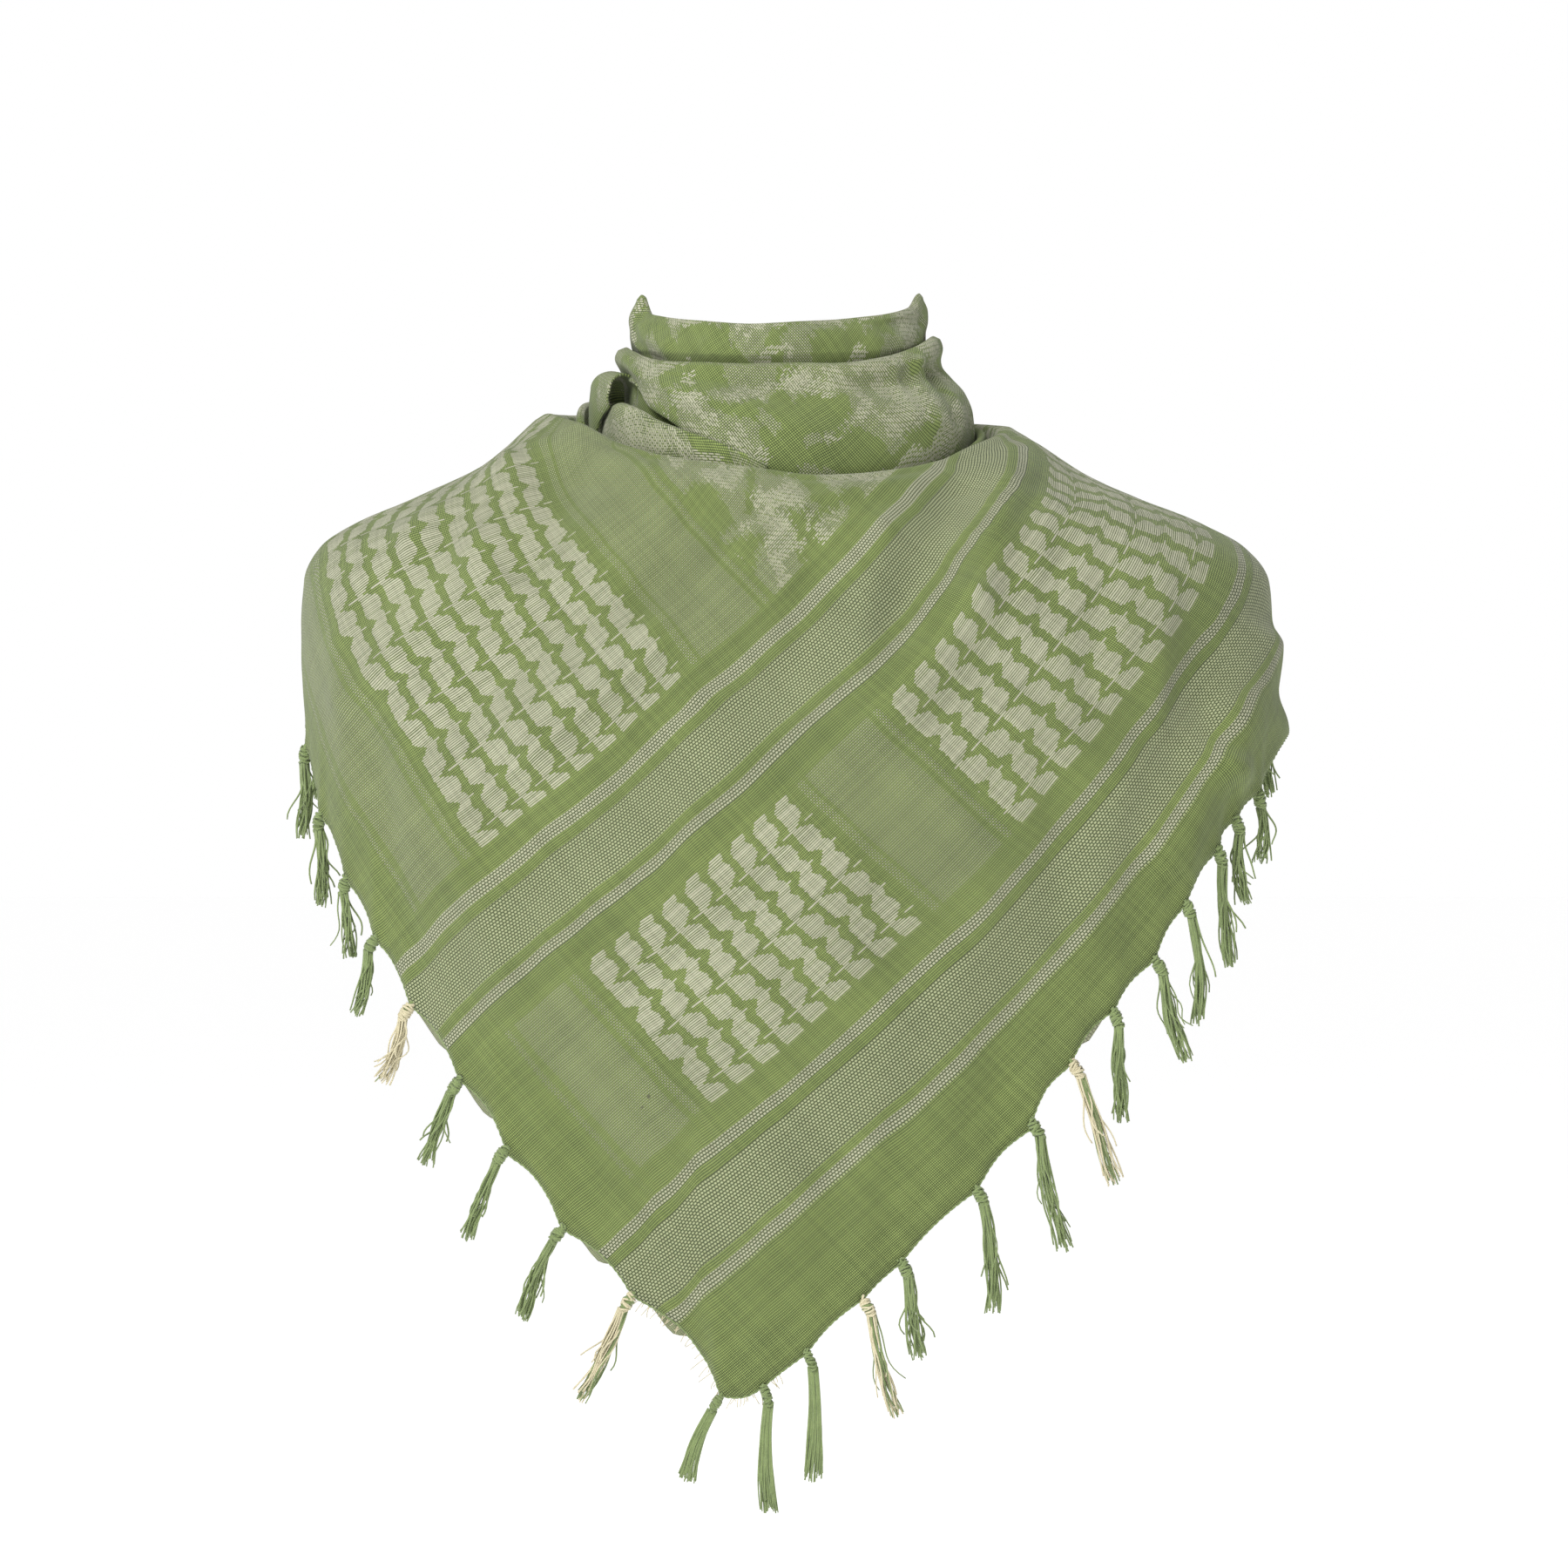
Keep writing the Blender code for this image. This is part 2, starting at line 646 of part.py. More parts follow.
def make_nape_wrap():
    azimuths = np.linspace(*columns(NAPE_STATIONS)["azimuth"][[0, -1]], NAPE_COLUMNS + 1)
    grid = turn_grid(NECK_OVALS["nape"], NAPE_STATIONS, NAPE_PROFILE, None, azimuths)
    return cloth_object("nape_wrap", grid, False, CLOTH_WALL, -1)


def make_side_roll():
    stations = columns(ROLL_STATIONS)
    azimuths = np.linspace(*stations["azimuth"][[0, -1]], ROLL_COLUMNS + 1)
    at = {name: eased(azimuths, stations["azimuth"], stations[name]) for name in stations}
    radius = (at["outer"] - at["inner"]) / 2
    shoulder = at["top"] - radius
    rows = []
    for share in np.linspace(0, 1, ROLL_LEG_ROWS + 1)[:-1]:
        leg = at["inner"] + at["flare"] * (1 - share)
        rows.append((leg, at["bottom"] + share * (shoulder - at["bottom"])))
    for turn in np.linspace(0, math.pi, ROLL_ARCH_ROWS + 1):
        rows.append((at["inner"] + radius * (1 - math.cos(turn)), shoulder + radius * math.sin(turn)))
    for share in np.linspace(0, 1, ROLL_HANG_ROWS + 1)[1:]:
        rows.append((at["outer"], shoulder - share * at["hang"]))
    out = np.array([row[0] for row in rows])
    z = np.array([row[1] for row in rows])
    x, y = oval_point(NECK_OVALS["roll"], np.broadcast_to(azimuths, z.shape), out)
    grid = np.stack([x, y, z], axis=-1)
    return cloth_object("side_roll", grid, False, ROLL_WALL, 0)


def hem_frame(grid, azimuths, azimuth):
    # The middle of the hem's rim, and the direction out of the hem along the cloth
    i = min(max(int(np.searchsorted(azimuths, azimuth)) - 1, 0), len(azimuths) - 2)
    share = (azimuth - azimuths[i]) / (azimuths[i + 1] - azimuths[i])
    normals = outward(grid)
    normal = normals[-1, i] * (1 - share) + normals[-1, i + 1] * share
    normal = normal / np.linalg.norm(normal)
    edge = grid[-1, i + 1] - grid[-1, i]
    beyond = np.cross(edge, normal)
    if beyond @ (grid[-1, i] - grid[-2, i]) < 0:
        beyond = -beyond
    rim = grid[-1, i] + edge * share - normal * CLOTH_WALL / 2
    return Vector(rim), Vector(beyond).normalized()


def knot_path(share, beyond, hang):
    # A point along the knot's bend: it leaves along the cloth and turns to hang
    bend = beyond * KNOT_LENGTH * KNOT_TIE_IN
    end = bend + hang * KNOT_LENGTH * (1 - KNOT_TIE_IN) * KNOT_DROOP
    return bend * (2 * share * (1 - share)) + end * share ** 2


def knot_frame(direction):
    side = direction.cross(Vector((0, 1, 0)))
    if side.length < 0.1:
        side = direction.cross(Vector((1, 0, 0)))
    side.normalize()
    return side, direction.cross(side).normalized()


def bend_knot(knot, beyond, hang):
    # The sphere's rings are laid along the knot's bend, from its top pole down
    last = len(KNOT_SHARES) - 1
    for vert in knot.verts:
        ring = round(math.acos(max(-1, min(1, vert.co.z))) / math.pi * last)
        share = KNOT_SHARES[ring]
        direction = (beyond * (1 - share) + hang * share).normalized()
        side, front = knot_frame(direction)
        turn = math.atan2(vert.co.y, vert.co.x)
        spoke = (side * math.cos(turn) + front * math.sin(turn)) * KNOT_RADII[ring]
        vert.co = knot_path(share, beyond, hang) + spoke


def tassel_mesh(name, beyond, hang, length, chance):
    # A knot whose lowest faces are each drawn out into a three-sided strand
    knot = bmesh.new()
    bmesh.ops.create_uvsphere(knot, u_segments=KNOT_SIDES, v_segments=len(KNOT_SHARES) - 1, radius=1)
    bottom = min(knot.verts, key=lambda vert: vert.co.z)
    bend_knot(knot, beyond, hang)
    bmesh.ops.recalc_face_normals(knot, faces=knot.faces[:])
    foot = bottom.co.copy()
    roots = list(bottom.link_faces)
    bmesh.ops.inset_individual(knot, faces=roots, thickness=STRAND_INSET)
    for root in roots:
        middle = root.calc_center_median()
        spread = middle - foot
        spread -= hang * spread.dot(hang)
        run = length * chance.uniform(*STRAND_LENGTHS)
        sway = spread.normalized() * chance.uniform(*STRAND_SWAY)
        face = root
        for part in range(STRAND_PARTS):
            face = bmesh.ops.extrude_discrete_faces(knot, faces=[face])["faces"][0]
            move = hang * run / STRAND_PARTS + spread * STRAND_SPLAY + sway * (1 - part / STRAND_PARTS)
            bmesh.ops.translate(knot, vec=move, verts=list(face.verts))
    bmesh.ops.recalc_face_normals(knot, faces=knot.faces[:])
    mesh = bpy.data.meshes.new(name)
    knot.to_mesh(mesh)
    knot.free()
    mesh.shade_smooth()
    return mesh


def make_tassel(name, rim, beyond, swing, length, chance):
    hang = Vector((swing, 0, -length)).normalized()
    mesh = tassel_mesh(name, beyond, hang, length - KNOT_LENGTH, chance)
    tassel = bpy.data.objects.new(name, mesh)
    tassel.location = rim + beyond * SEAM_GAP
    return tassel


def tassel_rows():
    # Every tassel as its name, azimuth, swing, length and yarn
    front = columns(FRONT_TASSELS)
    back = columns(BACK_TASSELS)
    spots = np.linspace(-FRONT_REACH, FRONT_REACH, SAMPLES)
    across = bib_base(spots, hem_ring(spots))[:, 0]
    rows = []
    for i, place in enumerate(front["across"]):
        name = f"tassel_front_{i + 1:02d}"
        azimuth = np.interp(place, across, spots)
        rows.append((name, azimuth, front["swing"][i], front["length"][i], front["yarn"][i]))
    for side, sign in (("left", -1), ("right", 1)):
        for i, place in enumerate(back["azimuth"]):
            name = f"tassel_back_{side}_{i + 1}"
            rows.append((name, sign * place, sign * back["swing"][i], back["length"][i], back["yarn"][i]))
    return rows


def material(name, colour, roughness):
    made = bpy.data.materials.new(name)
    made.use_nodes = True
    shader = made.node_tree.nodes["Principled BSDF"]
    shader.inputs["Base Color"].default_value = colour
    shader.inputs["Roughness"].default_value = roughness
    shader.inputs["Metallic"].default_value = 0.0
    made.diffuse_color = colour
    return made


def main():
    clear_scene()
    scarf = bpy.data.collections.new("scarf")
    bpy.context.scene.collection.children.link(scarf)
    sheets = [
        make_bib(),
        make_under_layer(),
        make_turn("collar_upper", "upper", UPPER_STATIONS, UPPER_PROFILE, UPPER_FOLDS),
        make_turn("collar_lower", "lower", LOWER_STATIONS, LOWER_PROFILE, LOWER_FOLDS),
        make_side_roll(),
        make_nape_wrap(),
    ]
    for sheet in sheets:
        sheet.data.materials.append(material(f"{sheet.name} cotton", COLOURS[sheet.name], 0.85))
        scarf.objects.link(sheet)
    yarns = [material("green yarn", YARN_COLOURS[0], 0.8), material("beige yarn", YARN_COLOURS[1], 0.8)]
    chance = random.Random(TASSEL_SEED)
    azimuths = bib_azimuths()
    grid = bib_grid(azimuths)
    for name, azimuth, swing, length, yarn in tassel_rows():
        rim, beyond = hem_frame(grid, azimuths, azimuth)
        tassel = make_tassel(name, rim, beyond, swing, length, chance)
        tassel.data.materials.append(yarns[int(yarn)])
        scarf.objects.link(tassel)


main()
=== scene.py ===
# Square woven scarf worn round an unseen neck: fine cloth, weave and knotted fringe over the fixed frame
import math
import random

import bpy
import numpy as np
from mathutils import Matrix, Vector, noise


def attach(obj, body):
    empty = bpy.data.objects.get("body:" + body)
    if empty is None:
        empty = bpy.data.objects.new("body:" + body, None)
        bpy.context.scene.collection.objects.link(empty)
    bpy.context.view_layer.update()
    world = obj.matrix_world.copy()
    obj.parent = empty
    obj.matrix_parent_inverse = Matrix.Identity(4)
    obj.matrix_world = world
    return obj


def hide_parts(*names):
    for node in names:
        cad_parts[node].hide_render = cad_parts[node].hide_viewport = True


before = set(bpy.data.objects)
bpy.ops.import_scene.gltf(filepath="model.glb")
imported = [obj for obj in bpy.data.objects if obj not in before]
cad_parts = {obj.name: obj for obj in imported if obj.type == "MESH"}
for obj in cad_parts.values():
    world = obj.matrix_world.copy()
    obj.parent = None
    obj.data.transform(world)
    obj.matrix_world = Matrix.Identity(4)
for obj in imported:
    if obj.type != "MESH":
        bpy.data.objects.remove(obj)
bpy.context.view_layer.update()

print("scarf: frame loaded")

mm = 0.001
plainColumns = {  # these are angles, shares and the like; all other columns are millimetres
    "azimuth", "fromAzimuth", "toAzimuth", "edgeShare", "squared", "share", "swell", "face", "yarn",
}

# rings of the bib, from the edge tucked in at the neck down to the point
bibRings = (
    ("height", "left", "right", "front", "back", "edgeShare", "squared"),
    (-9, 104, 106, 80, 93, 1.0, 0.0),
    (-1, 107, 109, 82, 95, 1.0, 0.0),
    (0, 111, 114, 86, 98, 1.0, 0.0),
    (-2.5, 116, 119, 89, 101, 1.0, 0.01),
    (-9, 125, 132, 92, 103, 0.8, 0.04),
    (-20, 143, 152, 95, 106, 0.55, 0.08),
    (-32, 172, 181, 98, 109, 0.35, 0.12),
    (-42, 199, 207, 101, 112, 0.25, 0.15),
    (-54, 221, 229, 104, 115, 0.15, 0.17),
    (-70, 230, 240, 107, 118, 0.08, 0.18),
    (-92, 231, 242, 111, 120, 0.0, 0.18),
    (-120, 230, 243, 116, 121, 0.0, 0.18),
    (-142, 229, 250, 119, 121, 0.0, 0.18),
    (-180, 229, 250, 122, 121, 0.0, 0.18),
    (-240, 226, 248, 124, 121, 0.0, 0.18),
    (-310, 216, 240, 124, 121, 0.0, 0.18),
    (-390, 196, 225, 121, 121, 0.0, 0.18),
    (-470, 170, 200, 116, 121, 0.0, 0.18),
)
lipRing = 3.0
neckEdge = (
    ("azimuth", "height"),
    (-180, 13), (-130, 13), (-85, 12), (-60, 7), (-43, -4), (-25, -11), (-7, -16),
    (10, -20), (28, -17), (45, -12), (62, -3), (85, 4), (130, 10), (180, 13),
)

# knots on the front hem, from the left side down to the point and up to the right side
hemKnots = (
    ("across", "height", "swing", "length", "sag"),
    (-227.5, -150, -1, 44, 1), (-219, -183, 3, 46, 1.5), (-206.5, -213.5, 5, 40, 1.5),
    (-191.5, -242, -8, 40, 2), (-174, -274, -14, 41, 3), (-150.5, -309, -15, 44, 4),
    (-127.5, -344, -19, 48, 4), (-101, -380, -17, 48, 4), (-67.5, -411.5, -27, 56, 7),
    (-26, -459, -16, 44, -3), (-5.5, -454, 0, 60, 0), (15, -438, -1, 62, 2),
    (41.5, -412.5, 15, 58, 0.5), (60, -395, 6, 48, 2), (95.5, -361, 5, 60, 3),
    (122, -332, 13, 64, 4), (141, -301.5, 20, 62, 3), (161, -276, 1, 54, 2), (181, -252, 13, 52, 2),
    (196, -225.5, 4, 60, 2), (211, -199, 5, 58, 0.5), (221.5, -184, 4, 42, 1),
    (232, -172, -1, 34, 1),
)
hemEnds = (("across", "height"), (-228.5, -141), (249, -143))
backHem = (
    ("azimuth", "height"),
    (100, -134), (115, -112), (130, -88), (145, -64), (160, -42), (172, -28), (180, -24),
)

# main folds of the bib between two places, seen from the front or, with face -1, from behind
bibFolds = (
    ("face", "fromAcross", "fromHeight", "toAcross", "toHeight", "rise", "reach"),
    (1, -114, -2, -146, -58, 7, 11),
    (1, -96, -22, -120, -66, -5, 12),
    (1, -56, -92, -120, -144, 8, 15),
    (1, -24, -60, -90, -112, -5, 16),
    (1, 118, -4, 94, -78, 8, 13),
    (1, 94, -78, 48, -142, 8, 15),
    (1, 88, -26, 58, -94, -5, 13),
    (1, 238, -100, 214, -160, 7, 13),
    (1, 214, -160, 188, -206, 7, 13),
    (1, 206, -96, 188, -150, -3, 13),
    (1, 150, -40, 168, -96, 3, 17),
    (1, 92, -300, 76, -338, 4, 12),
    (1, -190, -96, -150, -226, 3, 24),
    (1, 30, -190, -6, -410, 4, 36),
    (1, 128, -220, 96, -330, -4, 20),
    (1, -70, -260, -92, -350, -2, 22),
    (-1, -60, -4, -150, -70, 5, 14),
    (-1, 60, -4, 150, -70, 5, 14),
    (-1, -30, -10, -90, -70, -4, 13),
    (-1, 30, -10, 90, -70, -4, 13),
    (-1, -130, -40, -190, -110, 4, 16),
    (-1, 130, -40, 190, -110, 4, 16),
)
neckOvals = {
    "upper": {"middle": 2 * mm, "width": 68 * mm, "front": 61 * mm, "back": 62 * mm},
    "lower": {"middle": 2 * mm, "width": 75 * mm, "front": 69 * mm, "back": 70 * mm},
    "roll": {"middle": 2 * mm, "width": 75 * mm, "front": 69 * mm, "back": 72 * mm},
    "nape": {"middle": 2 * mm, "width": 94 * mm, "front": 84 * mm, "back": 88 * mm},
}

# heights and bulges of the turns at places round the neck, and the shape across each turn
upperStations = (
    ("azimuth", "top", "bottom", "out", "bulge", "curl"),
    (-180, 56, 6, 0, 3, 0), (-120, 58, 6, 0, 4, 0), (-100, 60, 6, 0, 5, 0), (-86, 70, 6, 1, 4.5, 0),
    (-74, 60.5, 6, -0.5, 5, 0), (-62, 58.6, 6, -0.5, 4, 0), (-42, 56.3, 6, 0, 4, 0),
    (-12, 53.9, 6, 0, 3.5, 0), (24, 55.9, 6, 0, 3.5, 0), (49, 59.2, 6, 0, 4, 0),
    (72, 63.8, 6, 0.5, 3, 0), (86, 71, 6, 2, 1.5, 0), (100, 61, 6, 0, 4, 0), (120, 58, 6, 0, 4, 0),
    (180, 56, 6, 0, 3, 0),
)

upperProfile = (
    ("share", "drop", "swell", "in"),
    (0.0, 9, 0.0, 5), (0.0, 1.5, 0.0, 4), (0.0, 0.0, 0.0, 1.8), (0.0, 2.0, 0.08, 0),
    (0.13, 0.0, 0.50, 0), (0.24, 0.0, 0.90, 0), (0.31, 0.0, 0.9, 0), (0.38, 0.0, 0.45, 0),
    (0.48, 0.0, 0.1, 0), (0.70, 0.0, 0.05, 0), (1.0, 0.0, 0.0, 0),
)

lowerStations = (
    ("azimuth", "top", "bottom", "out", "bulge", "curl"),
    (-180, 37, -16, 0, 10, 1), (-152, 38, -12, 0, 8, 1), (-132, 40, 12, 0.5, 4, 2),
    (-114, 42, 30, 1.5, 0.5, 3), (-88, 44.5, 31.5, 1.5, 0, 3.8), (-72, 42, 31, 1.5, 0, 3.6),
    (-62, 39, 27, 1, 3, 2.5), (-50, 36.5, 14, 0.5, 8, 1.5), (-40, 35.5, 7, 0, 10, 1.5),
    (-30, 35, -1, 0, 11, 1.5), (-20, 34.4, -8, 0, 11, 1.5), (-5, 34.4, -22, 0, 11, 1.5),
    (15, 34.4, -27, 0, 11, 1.5), (38, 37, -27, 0, 13, 2), (60, 43, -26, 1, 17, 2.5),
    (85, 50, -22, 2, 18, 2.5), (104, 47, -20, 1, 17, 3), (135, 39, -18, 0.5, 12, 1),
    (180, 37, -16, 0, 10, 1),
)

lowerProfile = (
    ("share", "drop", "swell", "in"),
    (0.0, 6, 0.0, 4.3), (0.0, 1.2, 0.0, 3.6), (0.0, 0.0, 0.0, 1.7), (0.0, 1.5, 0.0, 0),
    (0.09, 1.3, 0.02, 0), (0.18, 1.2, 0.06, 0), (0.27, 1.0, 0.35, 0), (0.38, 0.8, 0.76, 0),
    (0.52, 0.6, 0.97, 0), (0.66, 0.4, 1.0, 0), (0.83, 0.2, 0.97, 0), (1.0, 0.0, 0.88, 0),
)

napeStations = (
    ("azimuth", "top", "bottom", "out", "bulge", "curl"),
    (70, -5, -17, 5, 1, 0), (80, 0, -15, 6, 1, 0), (94, 4.5, -12, 5, 2.5, 0), (112, 9, -12, 3, 3, 0),
    (140, 17, -8, 1, 3.5, 0), (180, 22, -4, 1, 3.5, 0), (220, 21, -6, 1.5, 3.5, 0),
    (245, 20, -10, 3, 3.0, 0), (262, 17, -12, 4, 2.5, 0), (276, 8, -12, 4, 2, 0),
)

napeProfile = (
    ("share", "drop", "swell", "in"),
    (0.0, 5, 0.0, 4), (0.0, 1.0, 0.0, 3), (0.0, 0.0, 0.2, 1.2), (0.10, 0.0, 0.5, 0),
    (0.45, 0.0, 1.0, 0), (1.0, 0.0, 0.6, 0),
)

rollStations = (
    ("azimuth", "bottom", "top", "inner", "outer", "hang", "flare"),
    (-130, -8, 12, 0, 4, 3, 0), (-118, -8, 23, 0, 11, 16, 0), (-100, -8, 31, 0, 15.5, 27, 0),
    (-80, -8, 32, 0, 16.5, 27, 0), (-74, -8, 31.4, 0, 16, 17, 0), (-66, -9, 30, 0, 15, 8, 0),
)

rollEndStations = (  # the inner wall runs on behind the lower turn
    ("azimuth", "bottom", "top", "inner", "outer", "hang", "flare"),
    (-66, -9, 30, 0, 3.4, 1.5, 0), (-62, -12, 28.5, 0, 3.2, 1.4, 1),
    (-52, -16, 18, -0.5, 3.0, 1.2, 4), (-36, -22, 8, -0.5, 2.6, 1.0, 7),
    (-15, -26, -1, -0.5, 2.4, 1.0, 8), (10, -28, -7, -0.5, 2.4, 1.0, 9),
    (42, -28, -16, -1.0, 2.4, 1.0, 9),
)

bandStations = (  # the fold in front of it, under the open end of the roll
    ("azimuth", "bottom", "top", "inner", "outer", "hang", "flare"),
    (-80, -8, 12, 6, 11.5, 18, 0), (-70, -9, 15, 6, 13, 21, 0), (-64, -11, 15.8, 6, 14, 23, 0),
    (-58, -13, 14.5, 8, 14.5, 24, 0), (-50, -16, 11.5, 9.6, 14.8, 24, 0), (-43, -18, 7, 10.6, 15, 22, 0),
    (-36, -19, 3.5, 11, 14.8, 20, 0), (-28, -21, -0.5, 11, 13.6, 18, 0), (-20, -22, -4.5, 10.9, 12.7, 16, 0),
    (-12, -24, -9.5, 10.8, 12.0, 13, 0), (-4, -25, -16, 10.6, 11.6, 8, 0),
)

layerPeeks = (  # where the second layer shows past the hem
    ("across", "beyond", "reach"),
    (-164, 7, 8), (-141, 7, 8), (-86, 6, 8), (-50, 7, 9), (151, 6, 6),
)

backTassels = (  # on one side; the other side has the same
    ("azimuth", "swing", "length", "yarn"),
    (103, 2, 44, 0), (114, -2, 50, 0), (125, 3, 46, 1), (137, 0, 52, 0), (150, 2, 48, 0),
    (165, -3, 44, 0),
)

upperFolds = (
    ("fromAzimuth", "fromHeight", "toAzimuth", "toHeight", "rise", "reach"),
    (-84, 60, -50, 43, 2.0, 5), (-66, 58, -34, 46, -1.6, 5), (88, 62, 70, 44, 1.8, 5),
    (62, 59, 30, 45, -1.5, 6), (40, 52, -10, 42, 1.2, 6), (130, 54, 170, 36, 2.0, 6),
    (-140, 52, -175, 38, 2.0, 6),
)

lowerFolds = (
    ("fromAzimuth", "fromHeight", "toAzimuth", "toHeight", "rise", "reach"),
    (58, 40, 56, 6, 3.5, 6), (70, 32, 68, 8, -4.0, 6), (-58, 34, -8, 8, 2.0, 7),
    (-30, 26, 30, 4, -1.6, 7), (20, 24, 52, -6, 1.8, 8), (120, 34, 165, 0, 2.5, 9),
    (-128, 34, -165, 6, 2.5, 9),
)

# small folds of the turns
upperSmall = (
    ("fromAzimuth", "fromHeight", "toAzimuth", "toHeight", "rise", "reach"),
    (-78, 50, -58, 36, -1.3, 4), (-50, 50, -20, 40, 1.0, 4), (-24, 44, 16, 40, -0.9, 4),
    (10, 50, 44, 47, 0.8, 4), (48, 52, 66, 38, 1.2, 3.5), (76, 56, 84, 40, -1.4, 4),
    (100, 52, 128, 40, 1.2, 5), (150, 46, 176, 40, -1.0, 5), (-110, 50, -134, 42, -1.2, 5),
)
lowerSmall = (
    ("fromAzimuth", "fromHeight", "toAzimuth", "toHeight", "rise", "reach"),
    (-56, 26, -30, 8, -1.6, 4), (-46, 32, -10, 18, 1.2, 5), (-20, 20, 14, -2, 1.2, 5),
    (4, 30, 34, 22, -1.0, 5), (30, 14, 60, -14, -1.6, 5), (46, 34, 48, 10, 1.8, 4),
    (62, 30, 62, 4, 1.6, 3.5), (78, 36, 80, -8, -1.8, 5), (94, 34, 104, -4, 1.6, 6),
    (140, 28, 176, 10, -1.5, 6), (-140, 30, -172, 20, 1.5, 6), (150, 10, 178, -8, 1.4, 6),
)

foldFade = 0.25


def tableColumns(table):
    names, *rows = table
    values = np.array(rows, float)
    return {name: values[:, i] * (1 if name in plainColumns else mm) for i, name in enumerate(names)}


def easedCurve(at, stations, values):  # smooth through the stations, never past them
    at = np.clip(at, stations[0], stations[-1])
    step = np.diff(stations)
    slope = np.diff(values) / step
    product = slope[:-1] * slope[1:]
    total = np.where(slope[:-1] + slope[1:] == 0, 1, slope[:-1] + slope[1:])
    inner = np.where(product > 0, 2 * product / total, 0)
    tangent = np.concatenate([slope[:1], inner, slope[-1:]])
    i = np.clip(np.searchsorted(stations, at, side="right") - 1, 0, len(step) - 1)
    u = (at - stations[i]) / step[i]
    start = values[i] * (1 + 2 * u) * (1 - u) ** 2 + tangent[i] * step[i] * u * (1 - u) ** 2
    end = values[i + 1] * u * u * (3 - 2 * u) + tangent[i + 1] * step[i] * u * u * (u - 1)
    return start + end


rings = tableColumns(bibRings)
edgeLine = tableColumns(neckEdge)
ringNumbers = np.arange(len(rings["height"]), dtype=float)


def bibHeight(azimuth, ring):
    rise = easedCurve(azimuth, edgeLine["azimuth"], edgeLine["height"])
    height = easedCurve(ring, ringNumbers, rings["height"])
    return height + easedCurve(ring, ringNumbers, rings["edgeShare"]) * rise


def bibBase(azimuth, ring):  # the bib with no folds
    size = {name: easedCurve(ring, ringNumbers, rings[name]) for name in rings}
    across = np.sin(np.radians(azimuth))
    ahead = np.cos(np.radians(azimuth))
    wide = np.where(across < 0, size["left"], size["right"])
    deep = np.where(ahead > 0, size["front"], size["back"])
    y = -deep * ahead * (1 + size["squared"] * across ** 2)
    return np.stack([wide * across, y, bibHeight(azimuth, ring)], axis=-1)


def ringAt(azimuth, height):
    tried = np.linspace(lipRing, ringNumbers[-1], 1500)
    return np.interp(-height, -bibHeight(np.full_like(tried, azimuth), tried), tried)


def hemPlaces(steps):  # the front hem as seen from the front, scalloped between its knots
    knots = tableColumns(hemKnots)
    ends = tableColumns(hemEnds)
    across = np.concatenate([ends["across"][:1], knots["across"], ends["across"][1:]])
    height = np.concatenate([ends["height"][:1], knots["height"], ends["height"][1:]])
    sag = np.concatenate([[0], knots["sag"]])
    places = []
    for i in range(len(sag)):
        start = np.array([across[i], height[i]])
        run = np.array([across[i + 1], height[i + 1]]) - start
        inward = np.array([-run[1], run[0]]) / np.linalg.norm(run)
        for share in np.arange(steps) / steps:
            places.append(start + run * share + inward * sag[i] * math.sin(math.pi * share))
    places.append(np.array([across[-1], height[-1]]))
    return places


def hemLine(steps):
    back = tableColumns(backHem)
    found = []
    for across, height in hemPlaces(steps):
        ring = ringAt(0, height)
        side = "left" if across < 0 else "right"
        wide = easedCurve(np.array([ring]), ringNumbers, rings[side])[0]
        found.append((math.degrees(math.asin(max(-1, min(1, across / wide)))), height))
    rear = list(zip(back["azimuth"], back["height"]))
    found = [(-azimuth, height) for azimuth, height in reversed(rear)] + found + rear
    azimuths = np.array([azimuth for azimuth, _ in found])
    return azimuths, np.array([ringAt(azimuth, height) for azimuth, height in found])


hemAzimuths, hemRings = hemLine(10)
pointAzimuth = hemAzimuths[np.argmax(hemRings)]


def hemRing(azimuth):
    return np.interp(azimuth, hemAzimuths, hemRings)


def ridgeLift(across, height, start, end, reach):  # 1 along a fold, fading beside it and past its ends
    run = np.array(end) - np.array(start)
    awayX = across - start[0]
    awayZ = height - start[1]
    along = (awayX * run[0] + awayZ * run[1]) / (run @ run)
    held = np.clip(along, 0, 1)
    gap = np.hypot(awayX - held * run[0], awayZ - held * run[1])
    ends = np.clip(np.minimum(along, 1 - along) / foldFade + 1, 0, 1)
    return np.exp(-(gap / reach) ** 2) * ends * ends * (3 - 2 * ends)


def outwardNormals(points):
    normal = np.cross(np.gradient(points, axis=0), np.gradient(points, axis=1))
    return normal / np.maximum(np.linalg.norm(normal, axis=-1, keepdims=True), 1e-12)


def foldRise(points, table):
    rise = np.zeros(points.shape[:-1])
    folds = tableColumns(table)
    for i in range(len(folds["rise"])):
        start = (folds["fromAcross"][i], folds["fromHeight"][i])
        end = (folds["toAcross"][i], folds["toHeight"][i])
        lift = folds["rise"][i] * ridgeLift(points[..., 0], points[..., 2], start, end, folds["reach"][i])
        rise += np.where(points[..., 1] * folds["face"][i] < 0, lift, 0)
    return rise


def withFolds(points, gridRings, table):
    fade = np.clip((gridRings - lipRing) / 2, 0, 1)[..., None]
    sideFade = np.clip(np.abs(points[..., 1:2]) / (18 * mm), 0, 1)
    return points + outwardNormals(points) * foldRise(points, table)[..., None] * fade * sideFade


